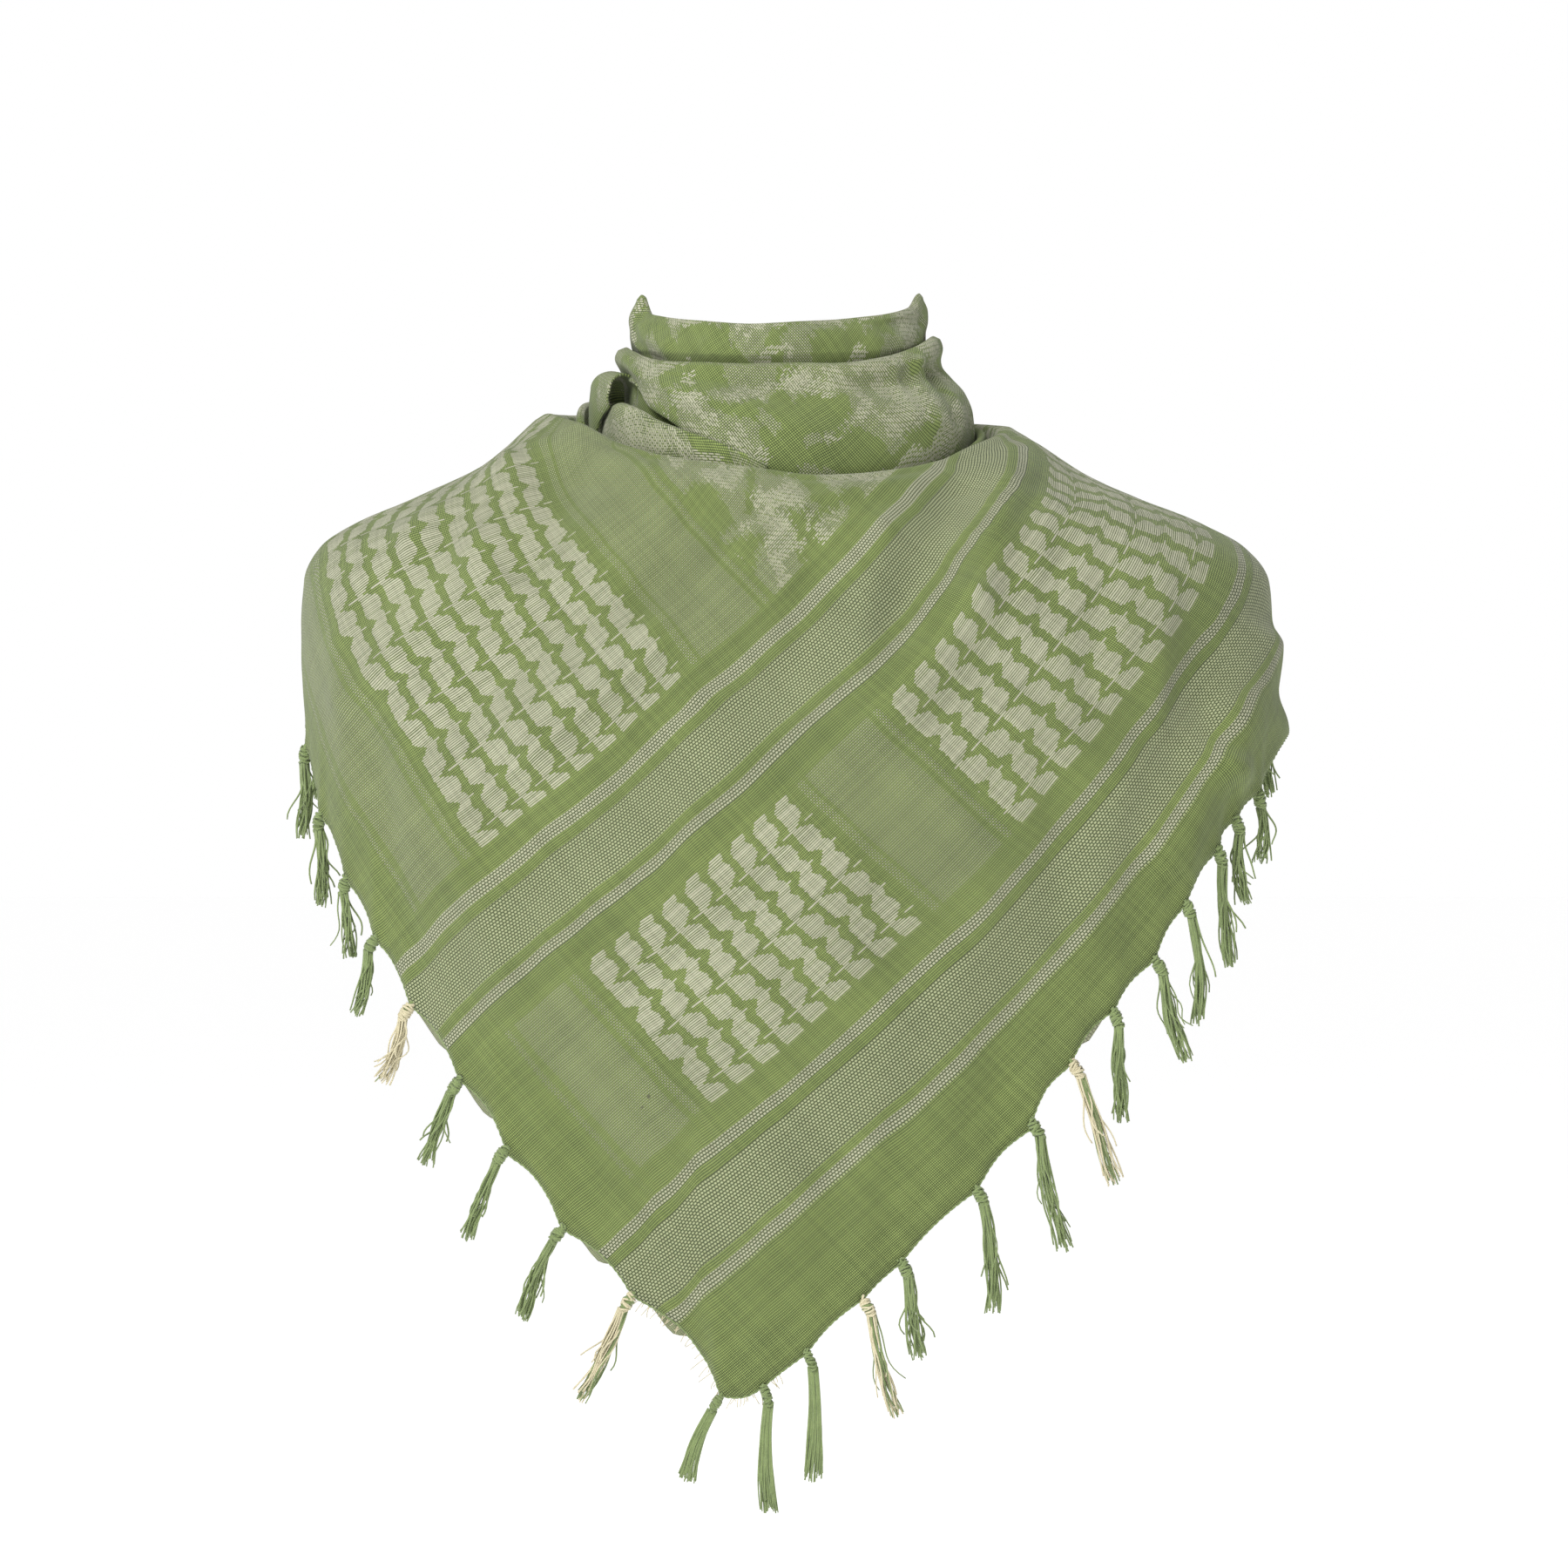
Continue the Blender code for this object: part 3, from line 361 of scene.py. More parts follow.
# where woven lines cross the front, by pixel of the photo, for each distance in millimetres from
# the right fringed edge and from the left one
fromRight = {  # charted
    46.2: ((794, 1496), (857, 1433), (950, 1352), (998, 1302), (1040, 1273), (1132, 1185),
           (1233, 1080), (1267, 1038), (1333, 963), (1358, 922), (1400, 851), (1437, 792)),
    89.0: ((707, 1433), (748, 1375), (794, 1329), (857, 1277), (936, 1223), (1007, 1156),
           (1060, 1100), (1125, 1051), (1175, 992), (1233, 926), (1296, 842), (1342, 788),
           (1392, 730), (1421, 688), (1429, 651)),
    105.4: ((807, 1262), (882, 1208), (940, 1162), (994, 1110), (1042, 1072), (1071, 1047),
            (1179, 947), (1208, 901), (1262, 838), (1300, 788), (1350, 722), (1385, 647)),
    194.5: ((680, 1100), (740, 1058), (794, 1012), (861, 951), (911, 905), (1017, 809),
            (1037, 788), (1079, 734), (1108, 688), (1137, 647), (1175, 592), (1208, 534)),
    211.0: ((523, 1192), (540, 1162), (565, 1133), (619, 1090), (673, 1051), (740, 997),
            (798, 942), (869, 884), (908, 838), (962, 797), (1012, 759), (1042, 726),
            (1071, 688), (1108, 622), (1137, 592), (1167, 555), (1187, 513)),
    253.0: ((469, 1112), (498, 1080), (540, 1038), (598, 984), (640, 951), (698, 901),
            (757, 842), (819, 788), (882, 730), (940, 672), (1000, 622), (1046, 580), (1083, 542)),
    268.0: ((557, 976), (607, 930), (648, 905), (698, 868), (786, 772)),
}
fromLeft = {
    38.2: ((586, 1175), (632, 1246), (690, 1308), (723, 1342), (348, 788), (382, 876),
           (423, 959), (465, 1022)),
    80.6: ((665, 1117), (723, 1183), (798, 1267), (365, 647), (369, 709), (394, 763),
           (436, 826), (478, 888), (515, 942), (544, 980)),
    88.2: ((678, 1104), (748, 1183), (815, 1258), (378, 634), (375, 663), (386, 705),
           (407, 747), (444, 797), (486, 867), (548, 972)),
    223.9: ((607, 517), (632, 572), (673, 622), (707, 655), (748, 705), (786, 772),
            (908, 913), (942, 951), (1004, 997), (1067, 1047)),
    229.7: ((611, 505), (640, 563), (698, 642), (740, 692), (790, 759), (962, 938), (1021, 997)),
    277.6: ((711, 505), (757, 559), (798, 605), (869, 680), (1008, 822), (1067, 876),
            (1117, 930), (1150, 963)),
    283.1: ((1017, 809), (1067, 855), (1108, 897), (1150, 934), (1171, 951)),
}
photoMiddle = (890, 500)
pixelSize = 0.42 * mm


def photoPlace(px, py):
    return np.array([(px - photoMiddle[0]) * pixelSize, (photoMiddle[1] - py) * pixelSize])


# the coarse net on which the cloth is laid flat, to find where each thread runs
frontCells = 48
sideCells = 8
downCells = 24
frontReach = 92
markPull = 4.0
hemPull = 0.4
flatSteps = 120


def columnAngles(finer):  # azimuths of the columns, from the nape round to the nape
    left = np.linspace(-180, -frontReach, sideCells * finer + 1)[:-1]
    front = np.linspace(-frontReach, frontReach, frontCells * finer + 1)
    right = np.linspace(frontReach, 180, sideCells * finer + 1)[1:]
    return np.concatenate([left, front, right])


def netEdge(angle):  # an even line just outside the hem
    spread = np.arange(-180, 180.5, 0.5)
    outer = np.max([hemRing(np.clip(spread + shift, -180, 180)) for shift in (-5, -2.5, 0, 2.5, 5)], axis=0)
    kernel = np.exp(-np.linspace(-2, 2, 25) ** 2)
    even = np.convolve(np.pad(outer, 12, mode="edge"), kernel / kernel.sum(), mode="valid")
    return np.minimum(np.interp(angle, spread, even) + 0.15, ringNumbers[-1])


def netRings(angles, finer):
    return np.linspace(lipRing, netEdge(angles), downCells * finer + 1)


def bibSurface(angles, gridRings, table):
    return withFolds(bibBase(np.broadcast_to(angles, gridRings.shape), gridRings), gridRings, table)


def netTriangles(rows, across):
    at = np.arange(rows * across).reshape(rows, across)
    a, b, c, d = at[:-1, :-1].ravel(), at[:-1, 1:].ravel(), at[1:, :-1].ravel(), at[1:, 1:].ravel()
    return np.concatenate([np.stack([a, c, d], 1), np.stack([a, d, b], 1)])


def markRows(angles, net):  # each mark as its place on the net, which edge it counts from, how far
    finer = 6
    fineAngles = columnAngles(finer)
    fine = bibSurface(fineAngles, netRings(fineAngles, finer), bibFolds)
    seen = np.stack([fine[..., 0], fine[..., 2]], -1)
    seen[fine[..., 1] > 10 * mm] = 9
    found = []
    for family, table in ((0, fromRight), (1, fromLeft)):
        for inward, places in table.items():
            for px, py in places:
                gap = np.hypot(*(seen - photoPlace(px, py)).transpose(2, 0, 1))
                down, over = np.unravel_index(gap.argmin(), gap.shape)
                if gap[down, over] < 8 * mm:
                    found.append((down / finer, over / finer, family, inward * mm))
    return found


def layFlat(angles):
    # turns each triangle of the net as rigidly as it can be laid on the flat cloth, while the hem
    # keeps to the cloth's two edges and the marks to their distances
    net = bibSurface(angles, netRings(angles, 1), bibFolds)
    rows, across = net.shape[:2]
    points = net.reshape(-1, 3)
    faces = netTriangles(rows, across)
    corner = points[faces]
    first = corner[:, 1] - corner[:, 0]
    second = corner[:, 2] - corner[:, 0]
    normal = np.cross(first, second)
    normal /= np.linalg.norm(normal, axis=1, keepdims=True)
    along = first / np.linalg.norm(first, axis=1, keepdims=True)
    aside = np.cross(normal, along)
    flat = np.zeros((len(faces), 3, 2))
    for i, edge in ((1, first), (2, second)):
        flat[:, i, 0] = (edge * along).sum(1)
        flat[:, i, 1] = (edge * aside).sum(1)
    count = len(points)
    stiffness = np.zeros((count, count))
    pulls = []
    for i in range(3):
        j, k = (i + 1) % 3, (i + 2) % 3
        one, two = flat[:, i] - flat[:, k], flat[:, j] - flat[:, k]
        cross = one[:, 0] * two[:, 1] - one[:, 1] * two[:, 0]
        weight = np.clip((one * two).sum(1) / cross, 0.05, 20)
        pulls.append((faces[:, i], faces[:, j], weight, flat[:, i] - flat[:, j]))
        for a, b in ((faces[:, i], faces[:, j]), (faces[:, j], faces[:, i])):
            np.add.at(stiffness, (a, a), weight)
            np.add.at(stiffness, (a, b), -weight)
    hold = [[], []]  # rows that hold the distance from the right edge, and from the left one
    for over, angle in enumerate(angles):
        for family, held in ((0, angle >= pointAzimuth - 1), (1, angle <= pointAzimuth + 1)):
            if held:
                down = (hemRing(angle) - lipRing) / (netEdge(angle) - lipRing) * downCells
                i = min(int(down), rows - 2)
                row = np.zeros(count)
                row[i * across + over] = 1 - (down - i)
                row[(i + 1) * across + over] = down - i
                hold[family].append((row, 0.0, hemPull))
    for down, over, family, inward in markRows(angles, net):
        i, j = min(int(down), rows - 2), min(int(over), across - 2)
        u, v = down - i, over - j
        row = np.zeros(count)
        start = i * across + j
        row[[start, start + 1]] = (1 - u) * (1 - v), (1 - u) * v
        row[[start + across, start + across + 1]] = u * (1 - v), u * v
        hold[family].append((row, inward, markPull))
    solved = []
    for family in (1, 0):  # first the distance from the left edge, then from the right one
        matrix = stiffness + 1e-6 * np.eye(count)
        fixed = np.zeros(count)
        for row, value, pull in hold[family]:
            used = np.nonzero(row)[0]
            matrix[np.ix_(used, used)] += pull * np.outer(row[used], row[used])
            fixed += pull * row * value
        solved.append((np.linalg.inv(matrix), fixed))
    reach = np.cumsum(np.linalg.norm(np.diff(net, axis=0, prepend=net[:1]), axis=-1), axis=0) + 0.12
    turn = np.radians(angles) * 0.7
    plane = np.stack([reach * np.sin(turn), -reach * np.cos(turn)], -1).reshape(-1, 2)
    half = math.sqrt(0.5)
    place = np.stack([plane[:, 0] * half + plane[:, 1] * half, -plane[:, 0] * half + plane[:, 1] * half], -1)
    place -= place.min(0)
    for step in range(flatSteps):
        aligned = np.zeros((len(faces), 2, 2))
        for a, b, weight, edge in pulls:
            aligned += weight[:, None, None] * (place[a] - place[b])[:, :, None] * edge[:, None, :]
        cosine = aligned[:, 0, 0] + aligned[:, 1, 1]
        sine = aligned[:, 1, 0] - aligned[:, 0, 1]
        size = np.hypot(cosine, sine) + 1e-12
        cosine, sine = cosine / size, sine / size
        wanted = np.zeros((count, 2))
        for a, b, weight, edge in pulls:
            x, y = edge[:, 0], edge[:, 1]
            turned = np.stack([cosine * x - sine * y, sine * x + cosine * y], -1)
            np.add.at(wanted, a, weight[:, None] * turned)
            np.add.at(wanted, b, -weight[:, None] * turned)
        place = np.stack([inverse @ (wanted[:, i] + fixed) for i, (inverse, fixed) in enumerate(solved)], -1)
    return place.reshape(rows, across, 2)


def cubicShares(at, count):  # where a place falls among even ones, and the shares of the four round it
    i = np.clip(at.astype(int), 0, count - 2)
    u = at - i
    shares = np.stack([-u / 2 + u ** 2 - u ** 3 / 2, 1 - 2.5 * u ** 2 + 1.5 * u ** 3,
                       u / 2 + 2 * u ** 2 - 1.5 * u ** 3, -u ** 2 / 2 + u ** 3 / 2], -1)
    return i, shares


def padEnds(values):  # one more step at each end, straight on
    return np.concatenate([[2 * values[0] - values[1]], values, [2 * values[-1] - values[-2]]])


def clothPlaces(flat, angles, gridRings):
    # the distances in from the left and right edges at each place of a finer grid
    netAngles = columnAngles(1)
    at = np.interp(angles, netAngles, np.arange(len(netAngles)))
    i, shares = cubicShares(at, len(netAngles))
    wide = padEnds(np.moveaxis(flat, 1, 0))
    columns = sum(shares[:, k, None, None] * wide[i + k] for k in range(4))  # column, row, distance
    down = (gridRings - lipRing) / (netEdge(angles) - lipRing) * downCells
    i, shares = cubicShares(np.clip(down, 0, downCells), downCells + 1)
    tall = padEnds(np.moveaxis(columns, 1, 0))  # row, column, distance
    over = np.broadcast_to(np.arange(len(angles)), gridRings.shape)
    return sum(shares[..., k, None] * tall[i + k, over] for k in range(4))


# colours and spacing of the yarns
yarns = {
    "green": (0.220, 0.280, 0.082, 1),
    # the dark green of the painted shade between threads, and of the darker yarn
    "greenShade": (0.024, 0.036, 0.009, 1),
    "beige": (0.365, 0.366, 0.262, 1),
    "beigeShade": (0.105, 0.112, 0.058, 1),
    "pitchRight": 1.069 * mm,  # between threads, counted in from the right edge
    "pitchLeft": 0.85 * mm,
    "stripeRows": 1.42 * mm,  # the beige stripes are woven in thicker rows of short dashes
}


def treeOf(*values):  # the node tree that the sockets among the values belong to
    return next(value.id_data for value in values if isinstance(value, bpy.types.NodeSocket))


def plug(socket, value):
    if isinstance(value, bpy.types.NodeSocket):
        value.id_data.links.new(value, socket)
    else:
        socket.default_value = value


def calc(kind, *values):
    node = treeOf(*values).nodes.new("ShaderNodeMath")
    node.operation = kind
    for socket, value in zip(node.inputs, values):
        plug(socket, value)
    return node.outputs[0]


def plus(first, second):
    return calc("ADD", first, second)


def minus(first, second):
    return calc("SUBTRACT", first, second)


def times(first, second, *others):
    product = calc("MULTIPLY", first, second)
    return times(product, *others) if others else product


def inverse(share):  # 1 becomes 0 and 0 becomes 1
    return calc("SUBTRACT", 1.0, share)


def scaled(value, size, shift):
    return calc("MULTIPLY_ADD", value, size, shift)


def soften(value, low, high):  # 0 below low, 1 above high, smooth in between
    node = treeOf(value).nodes.new("ShaderNodeMapRange")
    node.interpolation_type = "SMOOTHSTEP"
    plug(node.inputs["Value"], value)
    node.inputs["From Min"].default_value = low
    node.inputs["From Max"].default_value = high
    return node.outputs["Result"]


def blend(share, first, second):
    node = treeOf(share, first, second).nodes.new("ShaderNodeMix")
    node.data_type = "RGBA"
    for name, value in (("Factor", share), ("A", first), ("B", second)):
        plug(node.inputs[name], value)
    return node.outputs["Result"]


def steps(value, table):  # levels along the value: (start of a step in millimetres, its level)
    level = table[0][1]
    total = level
    for start, new in table[1:]:
        rise = soften(value, (start - 0.2) * mm, (start + 0.2) * mm)
        total = scaled(rise, new - level, total)
        level = new
    return total


def between(value, low, high):
    start = soften(minus(value, low), -0.15 * mm, 0.15 * mm)
    end = soften(minus(value, high), -0.15 * mm, 0.15 * mm)
    return minus(start, times(start, end))


def hump(value):  # one round hill for each whole step of the value
    return calc("SINE", times(calc("FRACT", value), math.pi))


def oddOnes(value):  # 1 at odd numbers, 0 at even ones
    return calc("MODULO", calc("ABSOLUTE", value), 2.0)


def grain(place, scale, detail=2.0, rough=0.5, twist=0.0):
    node = treeOf(place).nodes.new("ShaderNodeTexNoise")
    plug(node.inputs["Vector"], place)
    for name, value in (("Scale", scale), ("Detail", detail), ("Roughness", rough), ("Distortion", twist)):
        node.inputs[name].default_value = value
    return node.outputs[0]


def pair(x, y, z=0.0):
    node = treeOf(x, y).nodes.new("ShaderNodeCombineXYZ")
    for socket, value in zip(node.inputs, (x, y, z)):
        plug(socket, value)
    return node.outputs[0]


def perThread(number, seed):  # a value of its own for each thread
    node = treeOf(number).nodes.new("ShaderNodeTexWhiteNoise")
    node.noise_dimensions = "2D"
    plug(node.inputs["Vector"], pair(number, seed))
    return node.outputs["Value"]


def relief(height, strength, distance, under=None):
    node = treeOf(height).nodes.new("ShaderNodeBump")
    node.inputs["Strength"].default_value = strength
    node.inputs["Distance"].default_value = distance
    plug(node.inputs["Height"], height)
    if under:
        plug(node.inputs["Normal"], under)
    return node.outputs[0]


# stripes of the two sets of threads: where a stripe starts, in millimetres from its edge, and how
# beige it is; net is 1 where beige threads float to make the net pattern
stripes = {
    "strong": ((0, 0), (43.3, 0.95), (49.1, 0.02), (53.8, 0.62), (81.5, 0.02), (86.5, 0.95), (91.6, 0.02),
               (208.3, 0.95), (213.8, 0.02), (218.8, 0.62), (244.9, 0.02), (250.3, 0.95), (256.6, 0.02)),
    "faint": ((0, 0), (36.5, 0.85), (39.5, 0.05), (43.3, 0.72), (75.6, 0.05), (78.5, 0.85), (82.7, 0.02),
              (227.6, 0.85), (231.8, 0.05), (233.9, 0.72), (273, 0.05), (275.9, 0.85), (279.3, 0.02)),
    "faintShows": ((0, 0), (43.3, 0.12), (105.4, 1.0), (194.5, 0.12), (268, 1.0)),
    "weftShows": ((0, 0), (105.4, 0.22), (194.5, 0), (268, 0.22)),
    "netRight": ((0, 0), (105.4, 1), (194.5, 0), (268, 1)),
    "netLeft": ((0, 0), (88.2, 1), (223.9, 0), (283.1, 1)),
    "faintStripes": ((0, 0), (43.3, 1), (75.6, 0), (233.9, 1), (273, 0)),
    "middleRight": ((0, 0), (268, 1)),
    "middleLeft": ((0, 0), (283.1, 1)),
}
# the net: columns of floating beige threads. At every second turn a column is cut in on the far
# side, at the others on the near side, and one thread is tied across the green between columns
net = {"from": 88.2 * mm, "pitch": 15.1 * mm, "width": 10.9 * mm, "firstTurn": 107, "threads": 15,
       "nearCut": 4.6 * mm, "farCut": 5.3 * mm, "notch": 1.5 * mm, "ragged": 0.9 * mm,
       "tieFrom": 5.6 * mm, "tieTo": 14.3 * mm, "backTieFrom": 9.7 * mm, "backTieTo": 3.9 * mm}
patches = {"size": 27 * mm, "mid": 0.47, "long": 0.565, "other": 0.60, "jitter": 5 * mm, "twist": 0.5,
           "dash": 3.5 * mm, "dashShare": 0.72}


weave = {
    "dotShare": 0.85, "lowerDots": 0.45,  # how beige the dotted patches are, on the two sets of threads
    "pillow": 0.75,  # rounder pillows where it is higher
    "slackRight": 0.40, "slackLeft": 0.42,  # how unevenly wide the gaps between the threads are, where the green gets painted shade
    "slub": 0.24, "cloud": 0.30, "cloudScale": 28,  # light and dark, of single threads and of wide clouds
    "threadHeight": 0.35 * mm, "swellHeight": 1.2 * mm, "swellScale": 75,
    "roughness": 0.76, "fuzz": 0.12, "fuzzRoughness": 0.6, "shine": 0.25, "lint": (0.05, 0.05, 0.03, 1),
}


def patchShares(left, right, numberLeft, numberRight, pitchLeft, seed):
    # generic patches of dotted and of long threads, ragged at the ends of each thread
    fields, longs = [], []
    for number, size, along, limit, own in (
            (numberLeft, pitchLeft, right, patches["long"], 0.31),
            (numberRight, yarns["pitchRight"], left, patches["other"], 8.6)):
        tug = times(perThread(number, 3.7 + seed), patches["jitter"])
        snapped = pair(times(number, size), plus(along, tug), own + seed)
        field = grain(snapped, 1 / patches["size"], 1.8, 0.5, patches["twist"])
        stagger = times(calc("MODULO", calc("ABSOLUTE", number), 3.0), 0.37)
        loose = times(perThread(number, 7.7 + seed), 0.2)
        dashes = calc("FRACT", plus(calc("DIVIDE", along, patches["dash"]), plus(stagger, loose)))
        shown = calc("LESS_THAN", dashes, patches["dashShare"])
        longs.append(times(soften(field, limit, limit + 0.006), shown))
        fields.append(field)
    dotted = times(soften(fields[0], patches["mid"], patches["mid"] + 0.01), weave["dotShare"])
    return dotted, longs[0], times(longs[1], inverse(longs[0]))


def netFloats(left, numberRight):  # one thread at a time, so that the ends of the floats are ragged
    pitch = yarns["pitchRight"]
    row = calc("DIVIDE", minus(numberRight, net["firstTurn"]), net["threads"])
    nearest = calc("ROUND", row)
    odd = oddOnes(nearest)
    even = inverse(odd)
    offRow = times(calc("ABSOLUTE", minus(row, nearest)), net["threads"] * pitch)
    fromStart = times(calc("FRACT", calc("DIVIDE", minus(left, net["from"]), net["pitch"])), net["pitch"])
    nearTurn = inverse(soften(offRow, 0.4 * mm, 4.4 * mm))
    notch = times(soften(offRow, 2.2 * mm, 4.6 * mm), inverse(soften(offRow, 4.8 * mm, 7.6 * mm)))
    begin = scaled(perThread(numberRight, 9.1), net["ragged"], times(odd, nearTurn, net["nearCut"]))
    cut = plus(times(even, nearTurn, net["farCut"]), times(odd, notch, net["notch"]))
    cut = scaled(perThread(numberRight, 2.3), net["ragged"], cut)
    column = between(fromStart, begin, minus(net["width"] + net["ragged"], cut))
    tied = plus(times(odd, between(fromStart, net["tieFrom"], net["tieTo"])),
                times(even, inverse(between(fromStart, net["backTieTo"], net["backTieFrom"]))))
    onTurn = calc("LESS_THAN", offRow, 0.5 * pitch)
    return plus(times(onTurn, tied), times(inverse(onTurn), column))


def stripeDashes(left, right, pitchLeft):  # short dashes in rows, each row half a step along
    acrossRows = calc("DIVIDE", right, yarns["stripeRows"])
    halfStep = times(calc("FLOOR", acrossRows), 0.5)
    along = calc("FRACT", scaled(left, 0.5 / pitchLeft, halfStep))
    dashEnd = soften(calc("ABSOLUTE", minus(along, 0.5)), 0.26, 0.46)
    return times(inverse(dashEnd), soften(hump(acrossRows), 0.2, 0.75))


def withLint(colour, place, left, right, specks):
    for speckLeft, speckRight, size in specks:
        squares = [calc("POWER", minus(*sides), 2.0) for sides in ((left, speckLeft), (right, speckRight))]
        away = calc("SQRT", plus(*squares))
        ragged = plus(away, times(grain(place, 900, 1.0), size))
        mark = inverse(soften(ragged, size * 1.2, size * 1.6))
        colour = blend(times(mark, 0.8), colour, weave["lint"])
    return colour


def clothMaterial(name, paler=0.0, onlyPatches=False, specks=(), seed=0.0):
    made = bpy.data.materials.new(name)
    made.use_nodes = True
    tree = made.node_tree
    shader = tree.nodes["Principled BSDF"]
    uv = tree.nodes.new("ShaderNodeUVMap")
    uv.uv_map = "threads"
    place = uv.outputs[0]
    split = tree.nodes.new("ShaderNodeSeparateXYZ")
    plug(split.inputs[0], place)
    left, right = split.outputs[0], split.outputs[1]  # metres in from the left and right edges
    pitch = yarns["pitchRight"]
    pitchLeft = pitch if onlyPatches else yarns["pitchLeft"]

    # single threads: each crossing is a small pillow, and the two sets take turns on top
    acrossRight = calc("DIVIDE", right, pitch)
    acrossLeft = calc("DIVIDE", left, pitchLeft)
    numberRight = calc("FLOOR", acrossRight)
    numberLeft = calc("FLOOR", acrossLeft)
    humpRight = hump(acrossRight)
    humpLeft = hump(acrossLeft)
    pillow = calc("POWER", times(humpRight, humpLeft), weave["pillow"])
    turn = oddOnes(plus(numberRight, numberLeft))
    upperSet = times(turn, pillow)
    lowerSet = times(inverse(turn), pillow)

    dotShare, longPatch, otherPatch = patchShares(left, right, numberLeft, numberRight, pitchLeft, seed)
    if onlyPatches:
        beigeUpper, beigeLower = dotShare, times(dotShare, weave["lowerDots"])
        floats, longFloats = otherPatch, longPatch
    else:
        thread = times(plus(numberRight, 0.5), pitch)
        levels = {key: steps(thread, stripes[key])
                  for key in ("strong", "faintShows", "weftShows", "netRight", "middleRight")}
        levels.update({key: steps(left, stripes[key])
                       for key in ("faint", "netLeft", "faintStripes", "middleLeft")})
        middle = times(levels["middleRight"], levels["middleLeft"])
        block = times(levels["netRight"], levels["netLeft"], inverse(middle))
        floats = plus(times(netFloats(left, numberRight), block), times(otherPatch, middle))
        longFloats = times(longPatch, middle)
        dots = times(dotShare, middle)
        weft = times(levels["weftShows"], levels["faintStripes"])
        faint = times(levels["faint"], levels["faintShows"])
        beigeUpper = calc("MAXIMUM", weft, dots)
        beigeLower = calc("MAXIMUM", faint, times(dots, weave["lowerDots"]))
        striped = soften(levels["strong"], 0.05, 0.4)
        dash = times(stripeDashes(left, right, pitchLeft), striped, inverse(floats))

    slackRight = scaled(perThread(numberRight, 6.3), weave["slackRight"], 0.08)
    slackLeft = scaled(perThread(numberLeft, 6.9), weave["slackLeft"], 0.10)
    # beige only on the middle of each floating thread; the green in the gaps between takes the painted shade
    strandUp = soften(minus(humpRight, slackRight), 0.0, 0.42)
    strandLow = soften(minus(humpLeft, slackLeft), 0.0, 0.42)
    upperDots, lowerDots = soften(upperSet, 0.25, 0.8), soften(lowerSet, 0.3, 0.85)
    dotted = plus(times(beigeUpper, upperDots), times(beigeLower, lowerDots))
    plain = inverse(calc("MAXIMUM", floats, longFloats))
    beige = plus(times(dotted, plain), plus(times(floats, strandUp), times(longFloats, strandLow)))
    if not onlyPatches:
        beige = scaled(dash, levels["strong"], times(beige, inverse(striped)))
        pillow = plus(times(pillow, inverse(striped)), times(dash, striped))
    beige = calc("MINIMUM", beige, 1.0)

    # uneven yarn: every thread a little lighter or darker, and slow clouds; painted shade darkens the green
    # between threads, and painted light lightens it where crossings stand high
    slub = plus(times(perThread(numberRight, 1.3 + seed), 0.5), times(perThread(numberLeft, 5.9 + seed), 0.5))
    cloud = grain(place, weave["cloudScale"], 3.0, 0.55)
    tone = plus(times(slub, weave["slub"]), times(cloud, weave["cloud"]))
    # painted light and shade: the green is lighter on the raised crossings and darker between the threads
    paintedThreadLight = scaled(pillow, 1.25, -0.16)
    green = blend(plus(paintedThreadLight, times(minus(tone, 0.27), 1.1)), yarns["greenShade"], yarns["green"])
    pale = blend(scaled(tone, 1.5, 0.42), yarns["beigeShade"], yarns["beige"])
    colour = blend(beige, green, pale)
    if paler:
        colour = blend(paler, colour, yarns["beige"])
    plug(shader.inputs["Base Color"], withLint(colour, place, left, right, specks))
    plug(shader.inputs["Roughness"], plus(weave["roughness"], times(cloud, 0.16)))
    shader.inputs["Sheen Weight"].default_value = weave["fuzz"]
    shader.inputs["Sheen Roughness"].default_value = weave["fuzzRoughness"]
    shader.inputs["Specular IOR Level"].default_value = weave["shine"]

    # the threads stand up from the cloth: pillows in plain weave, ridges where threads float
    ridges = plus(times(floats, times(strandUp, 1.3)), times(longFloats, times(strandLow, 1.3)))
    threadRelief = relief(plus(times(pillow, plain), ridges), 0.5, weave["threadHeight"])
    slackAndTight = grain(place, weave["swellScale"], 2.0, 0.5)
    plug(shader.inputs["Normal"], relief(slackAndTight, 0.35, weave["swellHeight"], threadRelief))
    return made


def yarnMaterial(name, colour, shade):
    made = bpy.data.materials.new(name)
    made.use_nodes = True
    shader = made.node_tree.nodes["Principled BSDF"]
    place = made.node_tree.nodes.new("ShaderNodeTexCoord").outputs["Object"]
    fibres = grain(place, 1500, 2.0, 0.6)
    lengths = grain(place, 160, 2.0, 0.5)
    plug(shader.inputs["Base Color"], blend(plus(times(fibres, 0.7), times(lengths, 0.5)), shade, colour))
    plug(shader.inputs["Roughness"], plus(0.7, times(fibres, 0.25)))
    shader.inputs["Sheen Weight"].default_value = 0.3
    shader.inputs["Specular IOR Level"].default_value = weave["shine"]
    plug(shader.inputs["Normal"], relief(fibres, 0.6, 0.3 * mm))
    return made


